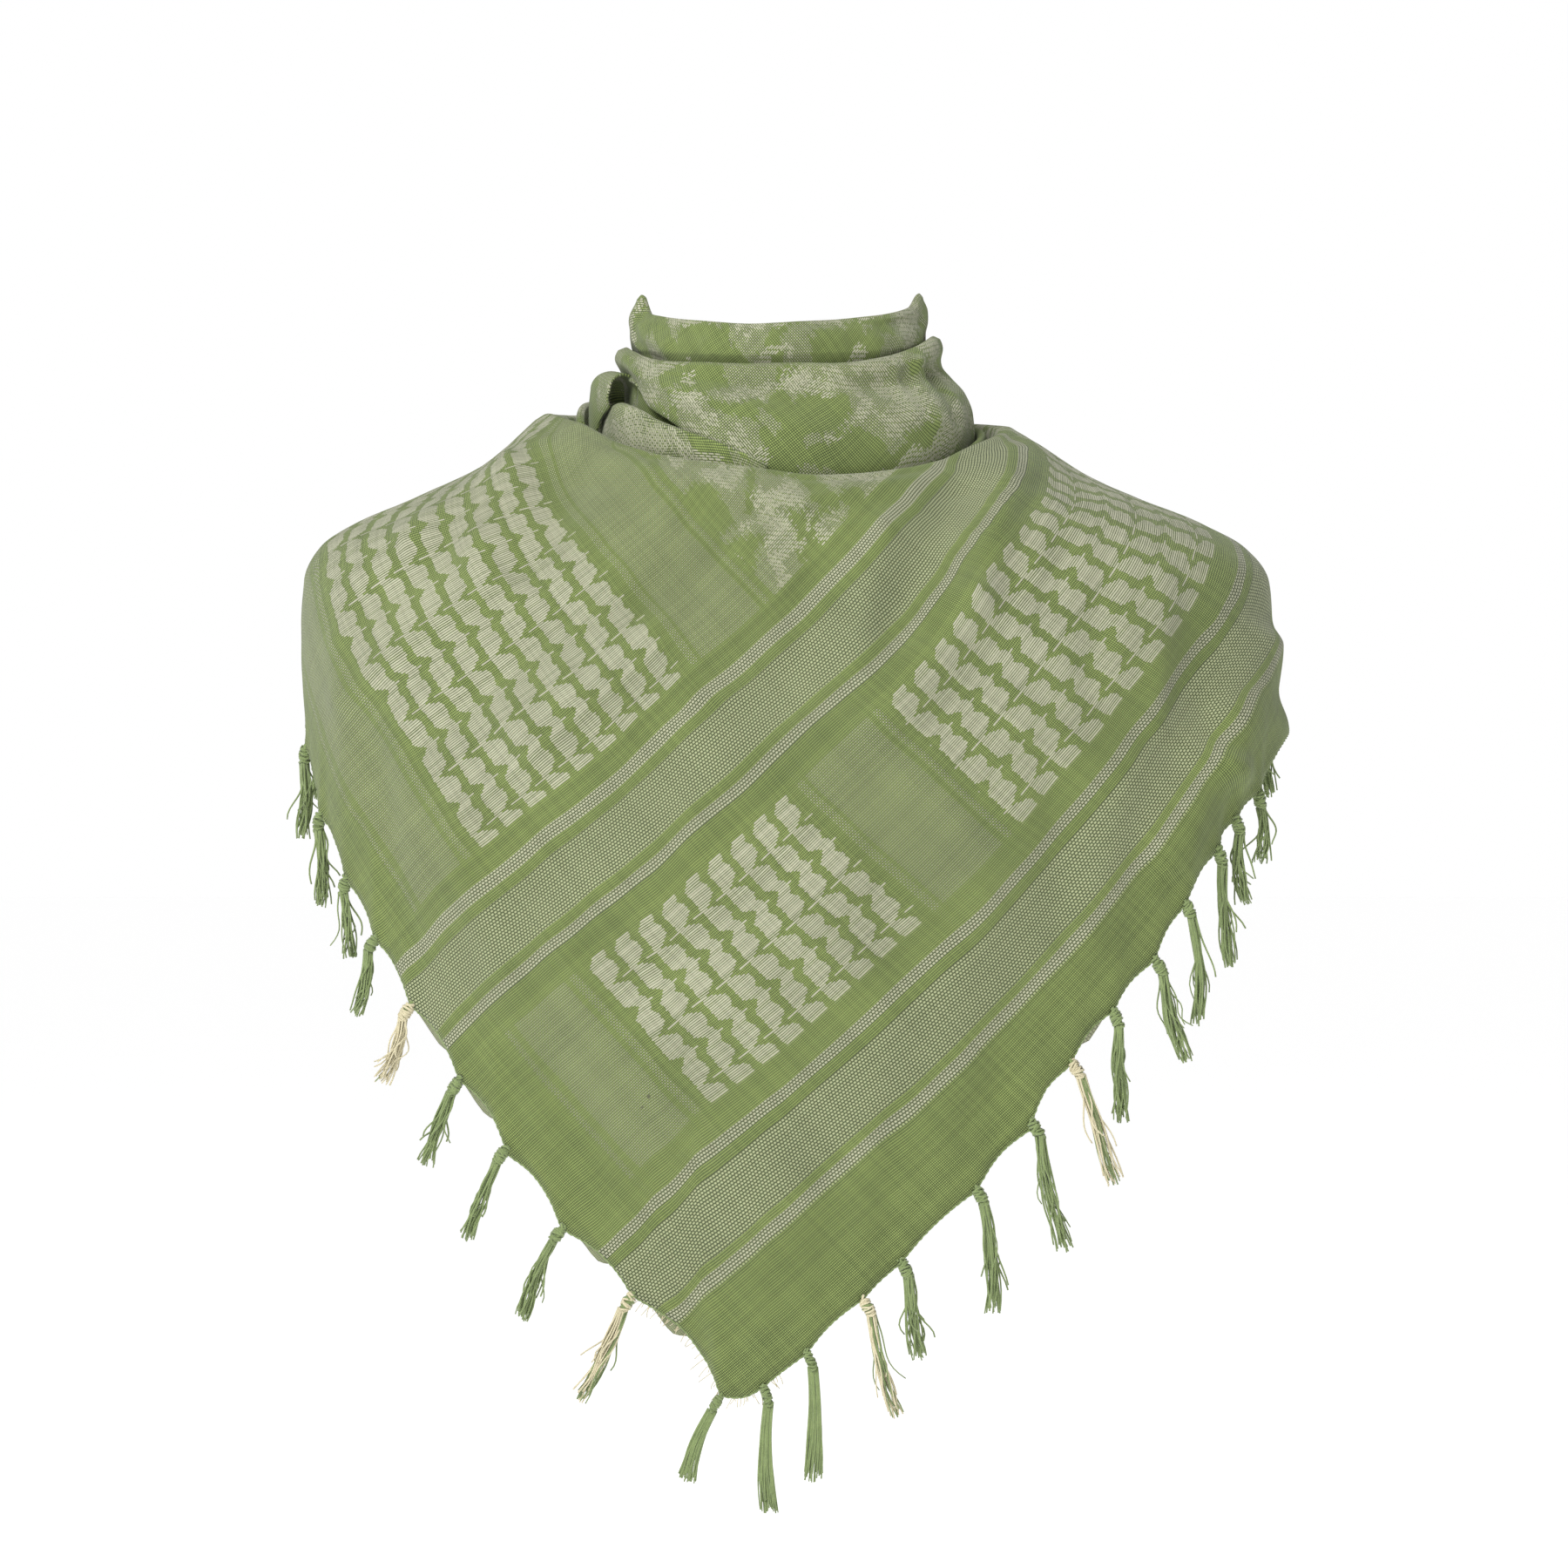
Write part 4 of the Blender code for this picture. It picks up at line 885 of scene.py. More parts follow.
def clothPiece(name, points, threads, closed, wall, offset, material, slot, *nodes, more=()):
    # one or more grids of points as a single thin cloth, with the threads at each point as its UV map
    places, faces, flats = [], [], []
    for grid, gridThreads in ((points, threads), *more):
        rows, across = grid.shape[:2]
        whole = np.arange(rows * across).reshape(rows, across)
        joined = whole.copy()
        if closed:
            joined[:, -1] = joined[:, 0]
        corners, threadCorners = [
            np.stack([at[:-1, :-1], at[1:, :-1], at[1:, 1:], at[:-1, 1:]], -1).reshape(-1, 4)
            for at in (joined, whole)]
        used, fresh = np.unique(corners, return_inverse=True)
        faces += (fresh.reshape(-1, 4) + len(places)).tolist()
        places += grid.reshape(-1, 3)[used].tolist()
        flats.append(gridThreads.reshape(-1, 2)[threadCorners.ravel()])
    mesh = bpy.data.meshes.new(name)
    mesh.from_pydata(places, [], faces)
    layer = mesh.uv_layers.new(name="threads")
    layer.data.foreach_set("uv", np.concatenate(flats).ravel())
    mesh.polygons.foreach_set("use_smooth", [True] * len(mesh.polygons))
    mesh.materials.append(material)
    piece = bpy.data.objects.new(name, mesh)
    bpy.context.scene.collection.objects.link(piece)
    thick = piece.modifiers.new("clothWall", "SOLIDIFY")
    thick.thickness = wall
    thick.offset = offset
    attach(piece, "root")
    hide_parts(*nodes)
    area = sum(face.area for face in mesh.polygons)
    print(f"scarf: {name}, {len(mesh.polygons)} faces, {area:.4f} m2")
    return piece


def pushOut(points, rise):  # along the outward normals
    return points + outwardNormals(points) * rise[..., None]


def ruffle(points, size, high, seed):  # slight unevenness
    flat = points.reshape(-1, 3)
    lift = [high * noise.noise(Vector(place) / size + Vector((seed, 0, seed))) for place in flat]
    return pushOut(points, np.array(lift).reshape(points.shape[:2]))


# small creases, seen from the front: they run out from the neck and the shoulders and
# pool over the chest
smallCreases = (
    ("face", "fromAcross", "fromHeight", "toAcross", "toHeight", "rise", "reach"),
    (1, -98, 0, -60, -14, 2.6, 6), (1, -60, -18, 10, -34, 1.8, 7), (1, 14, -34, 80, -12, 2.0, 6),
    (1, -40, -40, -66, -86, -2.2, 8), (1, -14, -48, -42, -120, 1.6, 9), (1, 20, -56, 4, -130, -1.8, 10),
    (1, 52, -44, 38, -112, 1.8, 8), (1, 104, -30, 76, -96, -2.0, 7), (1, 132, -34, 116, -92, 2.2, 7),
    (1, 160, -52, 150, -120, -2.0, 9), (1, 186, -66, 184, -140, 1.8, 8),
    (1, -126, -16, -178, -50, 2.4, 7), (1, -132, -40, -196, -84, -1.8, 8),
    (1, -140, -74, -206, -128, 2.0, 9), (1, -104, -88, -168, -150, -2.0, 9),
    (1, -80, -124, -150, -190, 1.6, 10), (1, -60, -150, -120, -230, -1.6, 11),
    (1, -20, -150, -60, -240, 1.5, 11), (1, 40, -160, 60, -250, -1.6, 12),
    (1, 70, -150, 104, -226, 1.8, 10), (1, 130, -150, 140, -240, -1.8, 10),
    (1, 168, -160, 150, -246, 1.6, 9), (1, -150, -210, -118, -290, 1.6, 10),
    (1, -100, -250, -70, -350, 1.5, 11), (1, -44, -300, -30, -420, -1.4, 12),
    (1, 10, -260, 24, -390, -1.4, 12), (1, 56, -280, 40, -370, 1.6, 9),
    (1, 206, -130, 214, -190, -1.6, 7), (1, -210, -100, -204, -180, 1.6, 8),
    (1, -190, -150, -176, -240, -1.5, 8), (-1, -20, -10, -50, -90, 2.2, 8),
    (-1, 22, -12, 56, -92, -2.0, 8), (-1, -70, -20, -120, -96, -2.2, 9), (-1, 74, -18, 126, -90, 2.4, 9),
    (-1, -110, -24, -176, -80, 2.0, 8), (-1, 112, -26, 180, -84, -2.0, 8), (-1, 0, -6, 4, -60, 1.8, 9),
    (-1, -160, -70, -206, -120, -1.8, 8), (-1, 166, -76, 210, -124, 1.8, 8),
)
bibDress = {
    "finerColumns": 4, "finerRows": 6, "lipRows": 12, "wall": 1.1 * mm, "creases": 1.55,
    "unevenness": 0.9 * mm, "wide": 45 * mm, "fine": 16 * mm,  # wide and fine unevenness
    "pucker": 1.5 * mm, "puckerReach": 14 * mm, "ringHeight": 28 * mm,
    "rollUnder": 6 * mm, "rollPlace": -38 * mm, "rollWidth": 13 * mm, "rollReach": 7 * mm,
}
triedAzimuths = np.linspace(-frontReach, frontReach, 1500)
hemAcross = bibBase(triedAzimuths, hemRing(triedAzimuths))[:, 0]


def azimuthOnHem(across):
    return np.interp(across, hemAcross, triedAzimuths)


def hemRipple(angles, gridRings, points):  # the cloth puckers at each knot and rolls under by the point
    away = (hemRing(angles) - gridRings) * bibDress["ringHeight"]
    places = [azimuthOnHem(place) for place in tableColumns(hemKnots)["across"]]
    places += [side * place for side in (-1, 1) for place in tableColumns(backTassels)["azimuth"]]
    rise = np.zeros(points.shape[:2])
    for i, place in enumerate(places):
        near = np.exp(-((angles - place) / 1.1) ** 2) - 0.55 * np.exp(-((angles - place - 2.6) / 1.5) ** 2)
        high = bibDress["pucker"] * (0.7 + 0.3 * math.sin(i * 2.3))
        rise += high * near * np.exp(-away / bibDress["puckerReach"])
    rolled = np.exp(-((points[..., 0] - bibDress["rollPlace"]) / bibDress["rollWidth"]) ** 2)
    rolled *= points[..., 1] < 0
    return rise - bibDress["rollUnder"] * rolled * np.exp(-(away / bibDress["rollReach"]) ** 2)


clothAngles = columnAngles(bibDress["finerColumns"])
tucked = np.linspace(0, lipRing, bibDress["lipRows"] + 1)[:-1, None] * np.ones(len(clothAngles))
hanging = np.linspace(lipRing, hemRing(clothAngles), downCells * bibDress["finerRows"] + 1)
clothRings = np.concatenate([tucked, hanging])
strongCreases = [(*crease[:5], crease[5] * bibDress["creases"], crease[6]) for crease in smallCreases[1:]]
allCreases = (*bibFolds, *strongCreases)
bibPoints = bibSurface(clothAngles, clothRings, allCreases)
bibPoints = pushOut(bibPoints, hemRipple(clothAngles, clothRings, bibPoints))
bibPoints = ruffle(bibPoints, bibDress["wide"], bibDress["unevenness"], 3)
bibPoints = ruffle(bibPoints, bibDress["fine"], bibDress["unevenness"] * 0.35, 8)
flatNet = layFlat(columnAngles(1))
bibThreads = clothPlaces(flatNet, clothAngles, clothRings)
lip = len(tucked)  # the threads run on over the rolled edge
lipStep = np.linalg.norm(bibPoints[lip] - bibPoints[lip + 5], axis=-1)
slope = (bibThreads[lip] - bibThreads[lip + 5]) / lipStep[:, None]
backFromLip = np.cumsum(np.linalg.norm(np.diff(bibPoints[:lip + 1], axis=0), axis=-1)[::-1], axis=0)[::-1]
bibThreads[:lip] = bibThreads[lip] + backFromLip[..., None] * slope
print("scarf: cloth laid flat, threads placed")


def threadsAt(px, py):  # the threads at a pixel of the photo
    x, z = photoPlace(px, py)
    away = np.hypot(bibPoints[..., 0] - x, bibPoints[..., 2] - z)
    away[bibPoints[..., 1] > 0] = 9
    return bibThreads[np.unravel_index(away.argmin(), away.shape)]


lint = [(*map(float, threadsAt(px, py)), size * mm) for px, py, size in ((751, 1248, 1.1), (740, 1259, 0.7))]
bibCotton = clothMaterial("stripedCotton", specks=lint)
collarCotton = clothMaterial("mottledCotton", onlyPatches=True, seed=0.45)
layerCotton = clothMaterial("innerCotton", paler=0.35)
bibPiece = clothPiece("hangingCloth", bibPoints, bibThreads, True, bibDress["wall"], -1, bibCotton,
                      "striped_cotton", "bib")

# the second layer, which peeks out in places along the front hem
layerDress = {"reach": 86, "from": 0.62, "rows": 40, "wall": 1.0 * mm, "gap": 0.6 * mm, "short": 2.8 * mm}


def layerHem(angles):
    edge = hemRing(angles)
    here = bibBase(angles, edge)
    perRing = np.linalg.norm(here - bibBase(angles, edge - 1), axis=-1)
    peeks = tableColumns(layerPeeks)
    reach = -np.full(len(angles), layerDress["short"])
    for across, beyond, spread in zip(peeks["across"], peeks["beyond"], peeks["reach"]):
        reach += (beyond + layerDress["short"]) * np.exp(-((here[:, 0] - across) / spread) ** 2)
    return edge + reach / perRing


layerAngles = clothAngles[np.abs(clothAngles) < layerDress["reach"]]
layerTop = lipRing + (hemRing(layerAngles) - lipRing) * layerDress["from"]
layerRings = np.linspace(layerTop, layerHem(layerAngles), layerDress["rows"])
layerPoints = bibSurface(layerAngles, layerRings, allCreases)
layerPoints = pushOut(layerPoints, hemRipple(layerAngles, layerRings, layerPoints))
layerPoints = ruffle(layerPoints, bibDress["wide"], bibDress["unevenness"], 3)
layerPoints = layerPoints - outwardNormals(layerPoints) * (bibDress["wall"] + layerDress["gap"])
layerThreads = clothPlaces(flatNet, layerAngles, layerRings)[..., ::-1]
layerPiece = clothPiece("underLayer", layerPoints, layerThreads, False, layerDress["wall"], -1, layerCotton,
                        "inner_layer_cotton", "under_layer")


def ovalPoint(oval, azimuth, out):
    across = np.sin(np.radians(azimuth))
    ahead = np.cos(np.radians(azimuth))
    deep = np.where(ahead > 0, oval["front"], oval["back"])
    normalX = across * deep
    normalY = -ahead * oval["width"]
    length = np.hypot(normalX, normalY)
    x = oval["middle"] + oval["width"] * across + out * normalX / length
    return x, -deep * ahead + out * normalY / length


def turnFolds(folds, azimuths, z):
    folds = tableColumns(folds)
    neck = turnDress["neckRadius"]
    arc = np.radians(azimuths) * neck
    rise = np.zeros(z.shape)
    for i in range(len(folds["rise"])):
        start = (math.radians(folds["fromAzimuth"][i]) * neck, folds["fromHeight"][i])
        end = (math.radians(folds["toAzimuth"][i]) * neck, folds["toHeight"][i])
        rise += folds["rise"][i] * ridgeLift(arc, z, start, end, folds["reach"][i])
    return rise


def finerProfile(profile, finer):
    columns = tableColumns(profile)
    steps = np.arange(len(columns["share"]), dtype=float)
    at = np.linspace(0, steps[-1], (len(steps) - 1) * finer + 1)
    return {name: easedCurve(at, steps, values) for name, values in columns.items()}


def turnPoints(oval, stations, profile, folds, azimuths, finer):
    stations = tableColumns(stations)
    profile = finerProfile(profile, finer)
    at = {name: easedCurve(azimuths, stations["azimuth"], stations[name]) for name in stations}
    drop = profile["drop"][:, None] + profile["share"][:, None] * (at["top"] - at["bottom"])
    z = at["top"] - drop
    out = at["out"] + profile["swell"][:, None] * at["bulge"] - profile["in"][:, None]
    free = np.clip(1 - profile["in"][:, None] / (1.5 * mm), 0, 1)
    out = out + at["curl"] * np.exp(-((drop - 5.5 * mm) / (5.5 * mm)) ** 2) * free
    if folds:
        belowEdge = np.clip(drop / (2.5 * mm) - 1, 0, 1) * (1 - profile["share"][:, None] ** 2)
        out = out + turnFolds(folds, azimuths, z) * belowEdge
    x, y = ovalPoint(oval, np.broadcast_to(azimuths, z.shape), out)
    return np.stack([x, y, z], axis=-1)


def biasThreads(points, azimuths, lean, shift):  # threads at a slant, with no stretch down the cloth
    down = np.cumsum(np.linalg.norm(np.diff(points, axis=0, prepend=points[:1]), axis=-1), axis=0)
    arc = np.broadcast_to(np.radians(azimuths) * turnDress["threadRadius"], down.shape)
    slant = math.radians(lean)
    left = arc * math.cos(slant) - down * math.sin(slant)
    right = -arc * math.sin(slant) - down * math.cos(slant)
    return np.stack([left + shift, right + shift], -1)


turnDress = {
    "columns": 300, "finer": 7, "wall": 1.1 * mm, "unevenness": 0.5 * mm, "unevenSize": 22 * mm,
    "neckRadius": 75 * mm, "threadRadius": 80 * mm,
    "upper": (40, 1.0), "lower": (38, 3.0),  # lean of the threads in degrees, and their start
}
turnAngles = np.linspace(-180, 180, turnDress["columns"] + 1)


def neckTurn(name, oval, stations, profile, folds, node):
    points = turnPoints(neckOvals[oval], stations, profile, folds, turnAngles, turnDress["finer"])
    points = ruffle(points, turnDress["unevenSize"], turnDress["unevenness"], 5)
    points[:, -1] = points[:, 0]
    threads = biasThreads(points, turnAngles, *turnDress[oval])
    return clothPiece(name, points, threads, True, turnDress["wall"], -1, collarCotton, "collar_cotton", node)


upperTurn = neckTurn("upperTurn", "upper", upperStations, upperProfile, upperFolds + upperSmall[1:],
                     "collar_upper")
lowerTurn = neckTurn("lowerTurn", "lower", lowerStations, lowerProfile, lowerFolds + lowerSmall[1:],
                     "collar_lower")

napeDress = {"from": 70, "to": 276, "columns": 180, "unevenness": 0.4 * mm, "unevenSize": 20 * mm}
napeAngles = np.linspace(napeDress["from"], napeDress["to"], napeDress["columns"] + 1)
napePoints = turnPoints(neckOvals["nape"], napeStations, napeProfile, None, napeAngles, turnDress["finer"])
napePoints = ruffle(napePoints, napeDress["unevenSize"], napeDress["unevenness"], 6)
napePiece = clothPiece("napeWrap", napePoints, biasThreads(napePoints, napeAngles, 44, 5.0), False,
                       turnDress["wall"], -1, collarCotton, "collar_cotton", "nape_wrap")

rollDress = {"leg": 12, "arch": 22, "hang": 14, "wall": 1.2 * mm, "swell": 1.0 * mm, "unevenness": 0.3 * mm}


def rolledEdge(stations, columns, lean):  # up the inner wall, over the top and down outside
    table = tableColumns(stations)
    azimuths = np.linspace(*table["azimuth"][[0, -1]], columns + 1)
    at = {name: easedCurve(azimuths, table["azimuth"], table[name]) for name in table}
    radius = (at["outer"] - at["inner"]) / 2
    shoulder = at["top"] - radius
    rows = []
    for share in np.linspace(0, 1, rollDress["leg"] + 1)[:-1]:
        rise = share * (shoulder - at["bottom"])
        rows.append((at["inner"] + at["flare"] * (1 - share), at["bottom"] + rise))
    for turn in np.linspace(0, math.pi, rollDress["arch"] + 1):
        rows.append((at["inner"] + radius * (1 - math.cos(turn)), shoulder + radius * math.sin(turn)))
    for share in np.linspace(0, 1, rollDress["hang"] + 1)[1:]:
        swell = rollDress["swell"] * math.sin(share * math.pi)
        rows.append((at["outer"] + swell, shoulder - share * at["hang"]))
    out = np.array([row[0] for row in rows])
    z = np.array([row[1] for row in rows])
    x, y = ovalPoint(neckOvals["roll"], np.broadcast_to(azimuths, z.shape), out)
    points = ruffle(np.stack([x, y, z], axis=-1), 18 * mm, rollDress["unevenness"], 12)
    return points, biasThreads(points, azimuths, lean, 7.0)


rollParts = ((rollStations, 60, 42), (rollEndStations, 94, 42), (bandStations, 80, 30))
rollGrids = [rolledEdge(*part) for part in rollParts]
rollPiece = clothPiece("sideRoll", *rollGrids[0], False, rollDress["wall"], 0, collarCotton, "collar_cotton",
                       "side_roll", more=rollGrids[1:])
print("scarf: cloth pieces made")


tasselDress = {
    "strands": 30, "thickness": 0.5 * mm, "steps": 11, "spread": 6.0 * mm, "waver": 1.7 * mm,
    "lean": 2.5 * mm, "rootSize": 2.3 * mm, "strayEvery": 5,
    "knotLength": 8.2 * mm, "knotTurns": 3.3, "knotYarns": 4, "knotYarn": 0.62 * mm, "knotCore": 2.4 * mm,
    "coreShape": (0.35, 0.6, 0.9, 1.0, 1.0, 0.95, 0.8, 0.5),
    "ribbonWidth": 8.5 * mm, "ribbonMore": 8,  # the three flat woven ends by the point
}


def tubes(paths, radii, sides):  # closed tubes along paths, as points and faces
    points, faces = [], []
    for path, radius in zip(paths, radii):
        path = np.array(path, float)
        ahead = np.gradient(path, axis=0)
        ahead /= np.maximum(np.linalg.norm(ahead, axis=1, keepdims=True), 1e-9)
        guide = np.array([0.31, 0.87, 0.38])
        side = np.cross(ahead, guide)
        side /= np.maximum(np.linalg.norm(side, axis=1, keepdims=True), 1e-9)
        other = np.cross(ahead, side)
        turn = np.arange(sides) * 2 * math.pi / sides
        size = np.broadcast_to(radius, len(path))[:, None, None]
        cosine, sine = np.cos(turn)[None, :, None], np.sin(turn)[None, :, None]
        ring = path[:, None] + size * (side[:, None] * cosine + other[:, None] * sine)
        start = len(points)
        points.extend(ring.reshape(-1, 3).tolist())
        for i in range(len(path) - 1):
            for j in range(sides):
                k = (j + 1) % sides
                low, high = start + i * sides, start + (i + 1) * sides
                faces.append((low + j, low + k, high + k, high + j))
        faces.append(tuple(start + j for j in reversed(range(sides))))
        faces.append(tuple(start + (len(path) - 1) * sides + j for j in range(sides)))
    return points, faces


def yarnPiece(name, groups, materials, slot, *nodes):  # groups of tubes, one material each
    points, faces, marks = [], [], []
    for number, (paths, radii, sides) in enumerate(groups):
        newPoints, newFaces = tubes(paths, radii, sides)
        faces.extend(tuple(i + len(points) for i in face) for face in newFaces)
        points.extend(newPoints)
        marks.extend([number] * len(newFaces))
    mesh = bpy.data.meshes.new(name)
    mesh.from_pydata(points, [], faces)
    mesh.polygons.foreach_set("use_smooth", [True] * len(mesh.polygons))
    mesh.polygons.foreach_set("material_index", [min(mark, len(materials) - 1) for mark in marks])
    for material in materials:
        mesh.materials.append(material)
    piece = bpy.data.objects.new(name, mesh)
    bpy.context.scene.collection.objects.link(piece)
    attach(piece, "root")
    if nodes:
        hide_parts(*nodes)
    return piece


greenYarn = yarnMaterial("greenYarn", (0.235, 0.300, 0.120, 1), (0.060, 0.090, 0.028, 1))
beigeYarn = yarnMaterial("beigeYarn", (0.620, 0.560, 0.390, 1), (0.300, 0.270, 0.150, 1))


def hemFrame(azimuth):  # the middle of the rim, the way out along the cloth, and the cloth's normal
    i = min(max(int(np.searchsorted(clothAngles, azimuth)) - 1, 0), len(clothAngles) - 2)
    share = (azimuth - clothAngles[i]) / (clothAngles[i + 1] - clothAngles[i])
    wide = slice(max(i - 3, 0), i + 5)
    normal = outwardNormals(bibPoints[-4:, wide])[-1].mean(0)
    normal /= np.linalg.norm(normal)
    edge = bibPoints[-1, i + 1] - bibPoints[-1, i]
    beyond = np.cross(bibPoints[-1, wide][-1] - bibPoints[-1, wide][0], normal)
    if beyond @ (bibPoints[-1, i] - bibPoints[-5, i]) < 0:
        beyond = -beyond
    rim = bibPoints[-1, i] + edge * share - normal * bibDress["wall"] / 2
    return rim, beyond / np.linalg.norm(beyond), normal


def addKnot(group, rim, foot, axis, normal, beigeShare, thin, chance):
    # a core with yarn wound over it in uneven turns
    side = np.cross(axis, normal)
    side /= np.linalg.norm(side)
    front = np.cross(axis, side)
    shape = np.array(tasselDress["coreShape"])
    core = [rim + (foot - rim) * share for share in np.linspace(-0.15, 1.1, len(shape))]
    group["green"].append((core, tasselDress["knotCore"] * shape * (0.75 if thin else 1)))
    narrow = 0.8 if thin else 1
    for yarn in range(tasselDress["knotYarns"]):
        turns = tasselDress["knotTurns"] * chance.uniform(0.7, 1.2) * chance.choice((-1, 1, 1))
        tilt = chance.uniform(0.6, 2.2) * mm
        first = chance.uniform(0, 6.28)
        winding = []
        for share in np.linspace(0, 1, 34):
            turn = first + share * turns * 2 * math.pi + chance.uniform(-0.1, 0.1)
            spot = rim + (foot - rim) * (0.06 + 0.86 * share) + axis * math.sin(turn * 0.8 + yarn) * tilt
            size = tasselDress["knotCore"] * (0.62 + 0.5 * math.sin(share * math.pi)) * narrow
            winding.append(spot + (side * math.cos(turn) + front * math.sin(turn)) * size)
        kind = "beige" if chance.random() < beigeShare else "green"
        group[kind].append((winding, tasselDress["knotYarn"] * narrow))


def addStrands(group, foot, axis, hang, run, beigeShare, ribbon, chance):
    # loose threads that leave the knot together, waver and part near their ends
    count = tasselDress["strands"] + (tasselDress["ribbonMore"] if ribbon else chance.randint(-2, 3))
    hangSide = np.cross(hang, [0, 1, 0])
    hangSide /= np.linalg.norm(hangSide)
    hangFront = np.array([0, 1, 0])
    leanSide, leanFront = [chance.uniform(-1, 1) * tasselDress["lean"] for _ in range(2)]
    root = tasselDress["rootSize"]
    for i in range(count):
        spin = 2 * math.pi * i / count + chance.uniform(-0.3, 0.3)
        rank = math.sqrt(chance.random())
        stray = i % tasselDress["strayEvery"] == 0
        if ribbon:
            wide = (i / (count - 1) - 0.5) * tasselDress["ribbonWidth"]
            deep = chance.uniform(-0.5, 0.5) * mm
            startWide, startDeep = wide * 0.5, deep
        else:
            startWide, startDeep = math.cos(spin) * rank * root, math.sin(spin) * rank * root
            parting = tasselDress["spread"] * (1.5 if stray else 0.75) * chance.uniform(0.5, 1.1)
            wide, deep = math.cos(spin) * rank * parting, math.sin(spin) * rank * parting
        reach = run * (chance.uniform(0.55, 0.8) if stray and not ribbon else chance.uniform(0.86, 1.0))
        waver = tasselDress["waver"] * (0.3 if ribbon else 1.6 if stray else 0.8)
        phase, rate = chance.uniform(0, 6.28), chance.uniform(4, 9)
        path = []
        for share in np.linspace(0, 1, tasselDress["steps"] + 1):
            eased = share ** 1.5
            sway, bow = waver * share, math.sin(share * 3)
            x = startWide * (1 - eased) + wide * eased + leanSide * bow
            x += math.sin(phase + rate * share) * sway
            y = startDeep * (1 - eased) + deep * eased + leanFront * bow
            y += math.cos(phase + rate * 0.8 * share) * sway
            hung = foot - axis * 1.5 * mm * (1 - share) + hang * reach * share
            path.append(hung + hangSide * x + hangFront * y)
        thick = tasselDress["thickness"] * chance.uniform(0.8, 1.15)
        sizes = thick * np.linspace(1.05, 0.75, tasselDress["steps"] + 1)
        group["beige" if chance.random() < beigeShare else "green"].append((path, sizes))


def tasselPiece(name, node, azimuth, swing, length, beigeShare, ribbon, chance):
    rim, beyond, normal = hemFrame(azimuth)
    hang = np.array([swing, 0, -length])
    hang /= np.linalg.norm(hang)
    knotLength = tasselDress["knotLength"]
    foot = rim + beyond * knotLength * 0.6 + hang * knotLength * 0.64
    axis = (foot - rim) / np.linalg.norm(foot - rim)
    group = {"green": [], "beige": []}
    addKnot(group, rim, foot, axis, normal, beigeShare, ribbon, chance)
    addStrands(group, foot, axis, hang, length - knotLength, beigeShare, ribbon, chance)
    groups, materials = [], []
    for kind, material in (("green", greenYarn), ("beige", beigeYarn)):
        if group[kind]:
            groups.append((*zip(*group[kind]), 5))
            materials.append(material)
    return yarnPiece(name, groups, materials, "beige_yarn" if beigeShare > 0.3 else "green_yarn", node)


# how much of each front tassel is beige, where it isn't green, and the three flat woven ends
beigeShares = {5: 0.97, 9: 0.6, 13: 0.6, 17: 0.75}
ribbons = (10, 11, 12)
chance = random.Random(23)
front = tableColumns(hemKnots)
for i, place in enumerate(front["across"]):
    number = i + 1
    share = beigeShares.get(number, 0.0)
    tasselPiece(
        f"frontTassel{number:02d}", f"tassel_front_{number:02d}", azimuthOnHem(place),
        front["swing"][i], front["length"][i], share, number in ribbons, chance)
rear = tableColumns(backTassels)
for side, sign in (("left", -1), ("right", 1)):
    for i, azimuth in enumerate(rear["azimuth"]):
        tasselPiece(
            f"{side}BackTassel{i + 1}", f"tassel_back_{side}_{i + 1}", sign * azimuth,
            sign * rear["swing"][i], rear["length"][i], 0.95 * rear["yarn"][i], False, chance)
print("scarf: tassels made")

# the hem: two yarns twisted along the rim, and short frayed ends by the point
hemDress = {
    "yarn": 0.42 * mm, "twist": 7 * mm, "step": 2.0 * mm,
    "frayed": 55, "frayedFrom": -70 * mm, "frayedTo": 2 * mm, "frayedYarn": 0.22 * mm,
}
rimNormal = outwardNormals(bibPoints[-4:])[-1]
rim = bibPoints[-1] - rimNormal * bibDress["wall"] / 2
rimLength = np.concatenate([[0], np.cumsum(np.linalg.norm(np.diff(rim, axis=0), axis=1))])
places = np.arange(0, rimLength[-1], hemDress["step"])
rimPath, rimNormal = [np.stack([np.interp(places, rimLength, values[:, i]) for i in range(3)], -1)
                      for values in (rim, rimNormal)]
rimOut = np.cross(np.gradient(rimPath, axis=0), rimNormal)
rimOut /= np.linalg.norm(rimOut, axis=1, keepdims=True)
rimOut *= np.sign((rimOut @ np.array([0, 0, -1.0])).sum())
turn = places / hemDress["twist"] * 2 * math.pi
plies = []
for start in (0, math.pi):
    twist = rimNormal * np.cos(turn + start)[:, None] + rimOut * np.sin(turn + start)[:, None]
    plies.append(rimPath + twist * hemDress["yarn"] * 0.9 + rimOut * 0.3 * mm)
frays = []
for i in range(hemDress["frayed"]):
    at = chance.uniform(hemDress["frayedFrom"], hemDress["frayedTo"])
    start, beyond, normal = hemFrame(azimuthOnHem(at))
    reach = chance.uniform(2, 7) * mm
    lean = np.array([chance.uniform(-0.6, 0.6), chance.uniform(-0.3, 0.3), chance.uniform(-0.5, 0.1)])
    frays.append([start + beyond * reach * share + lean * reach * share ** 2 * 0.7
                  for share in (-0.2, 0.3, 0.65, 1)])
twisted = (plies, [hemDress["yarn"]] * 2, 5)
frayed = (frays, [hemDress["frayedYarn"]] * len(frays), 3)
hemYarn = yarnPiece("hemYarn", [twisted, frayed], [greenYarn, beigeYarn], "green_yarn")

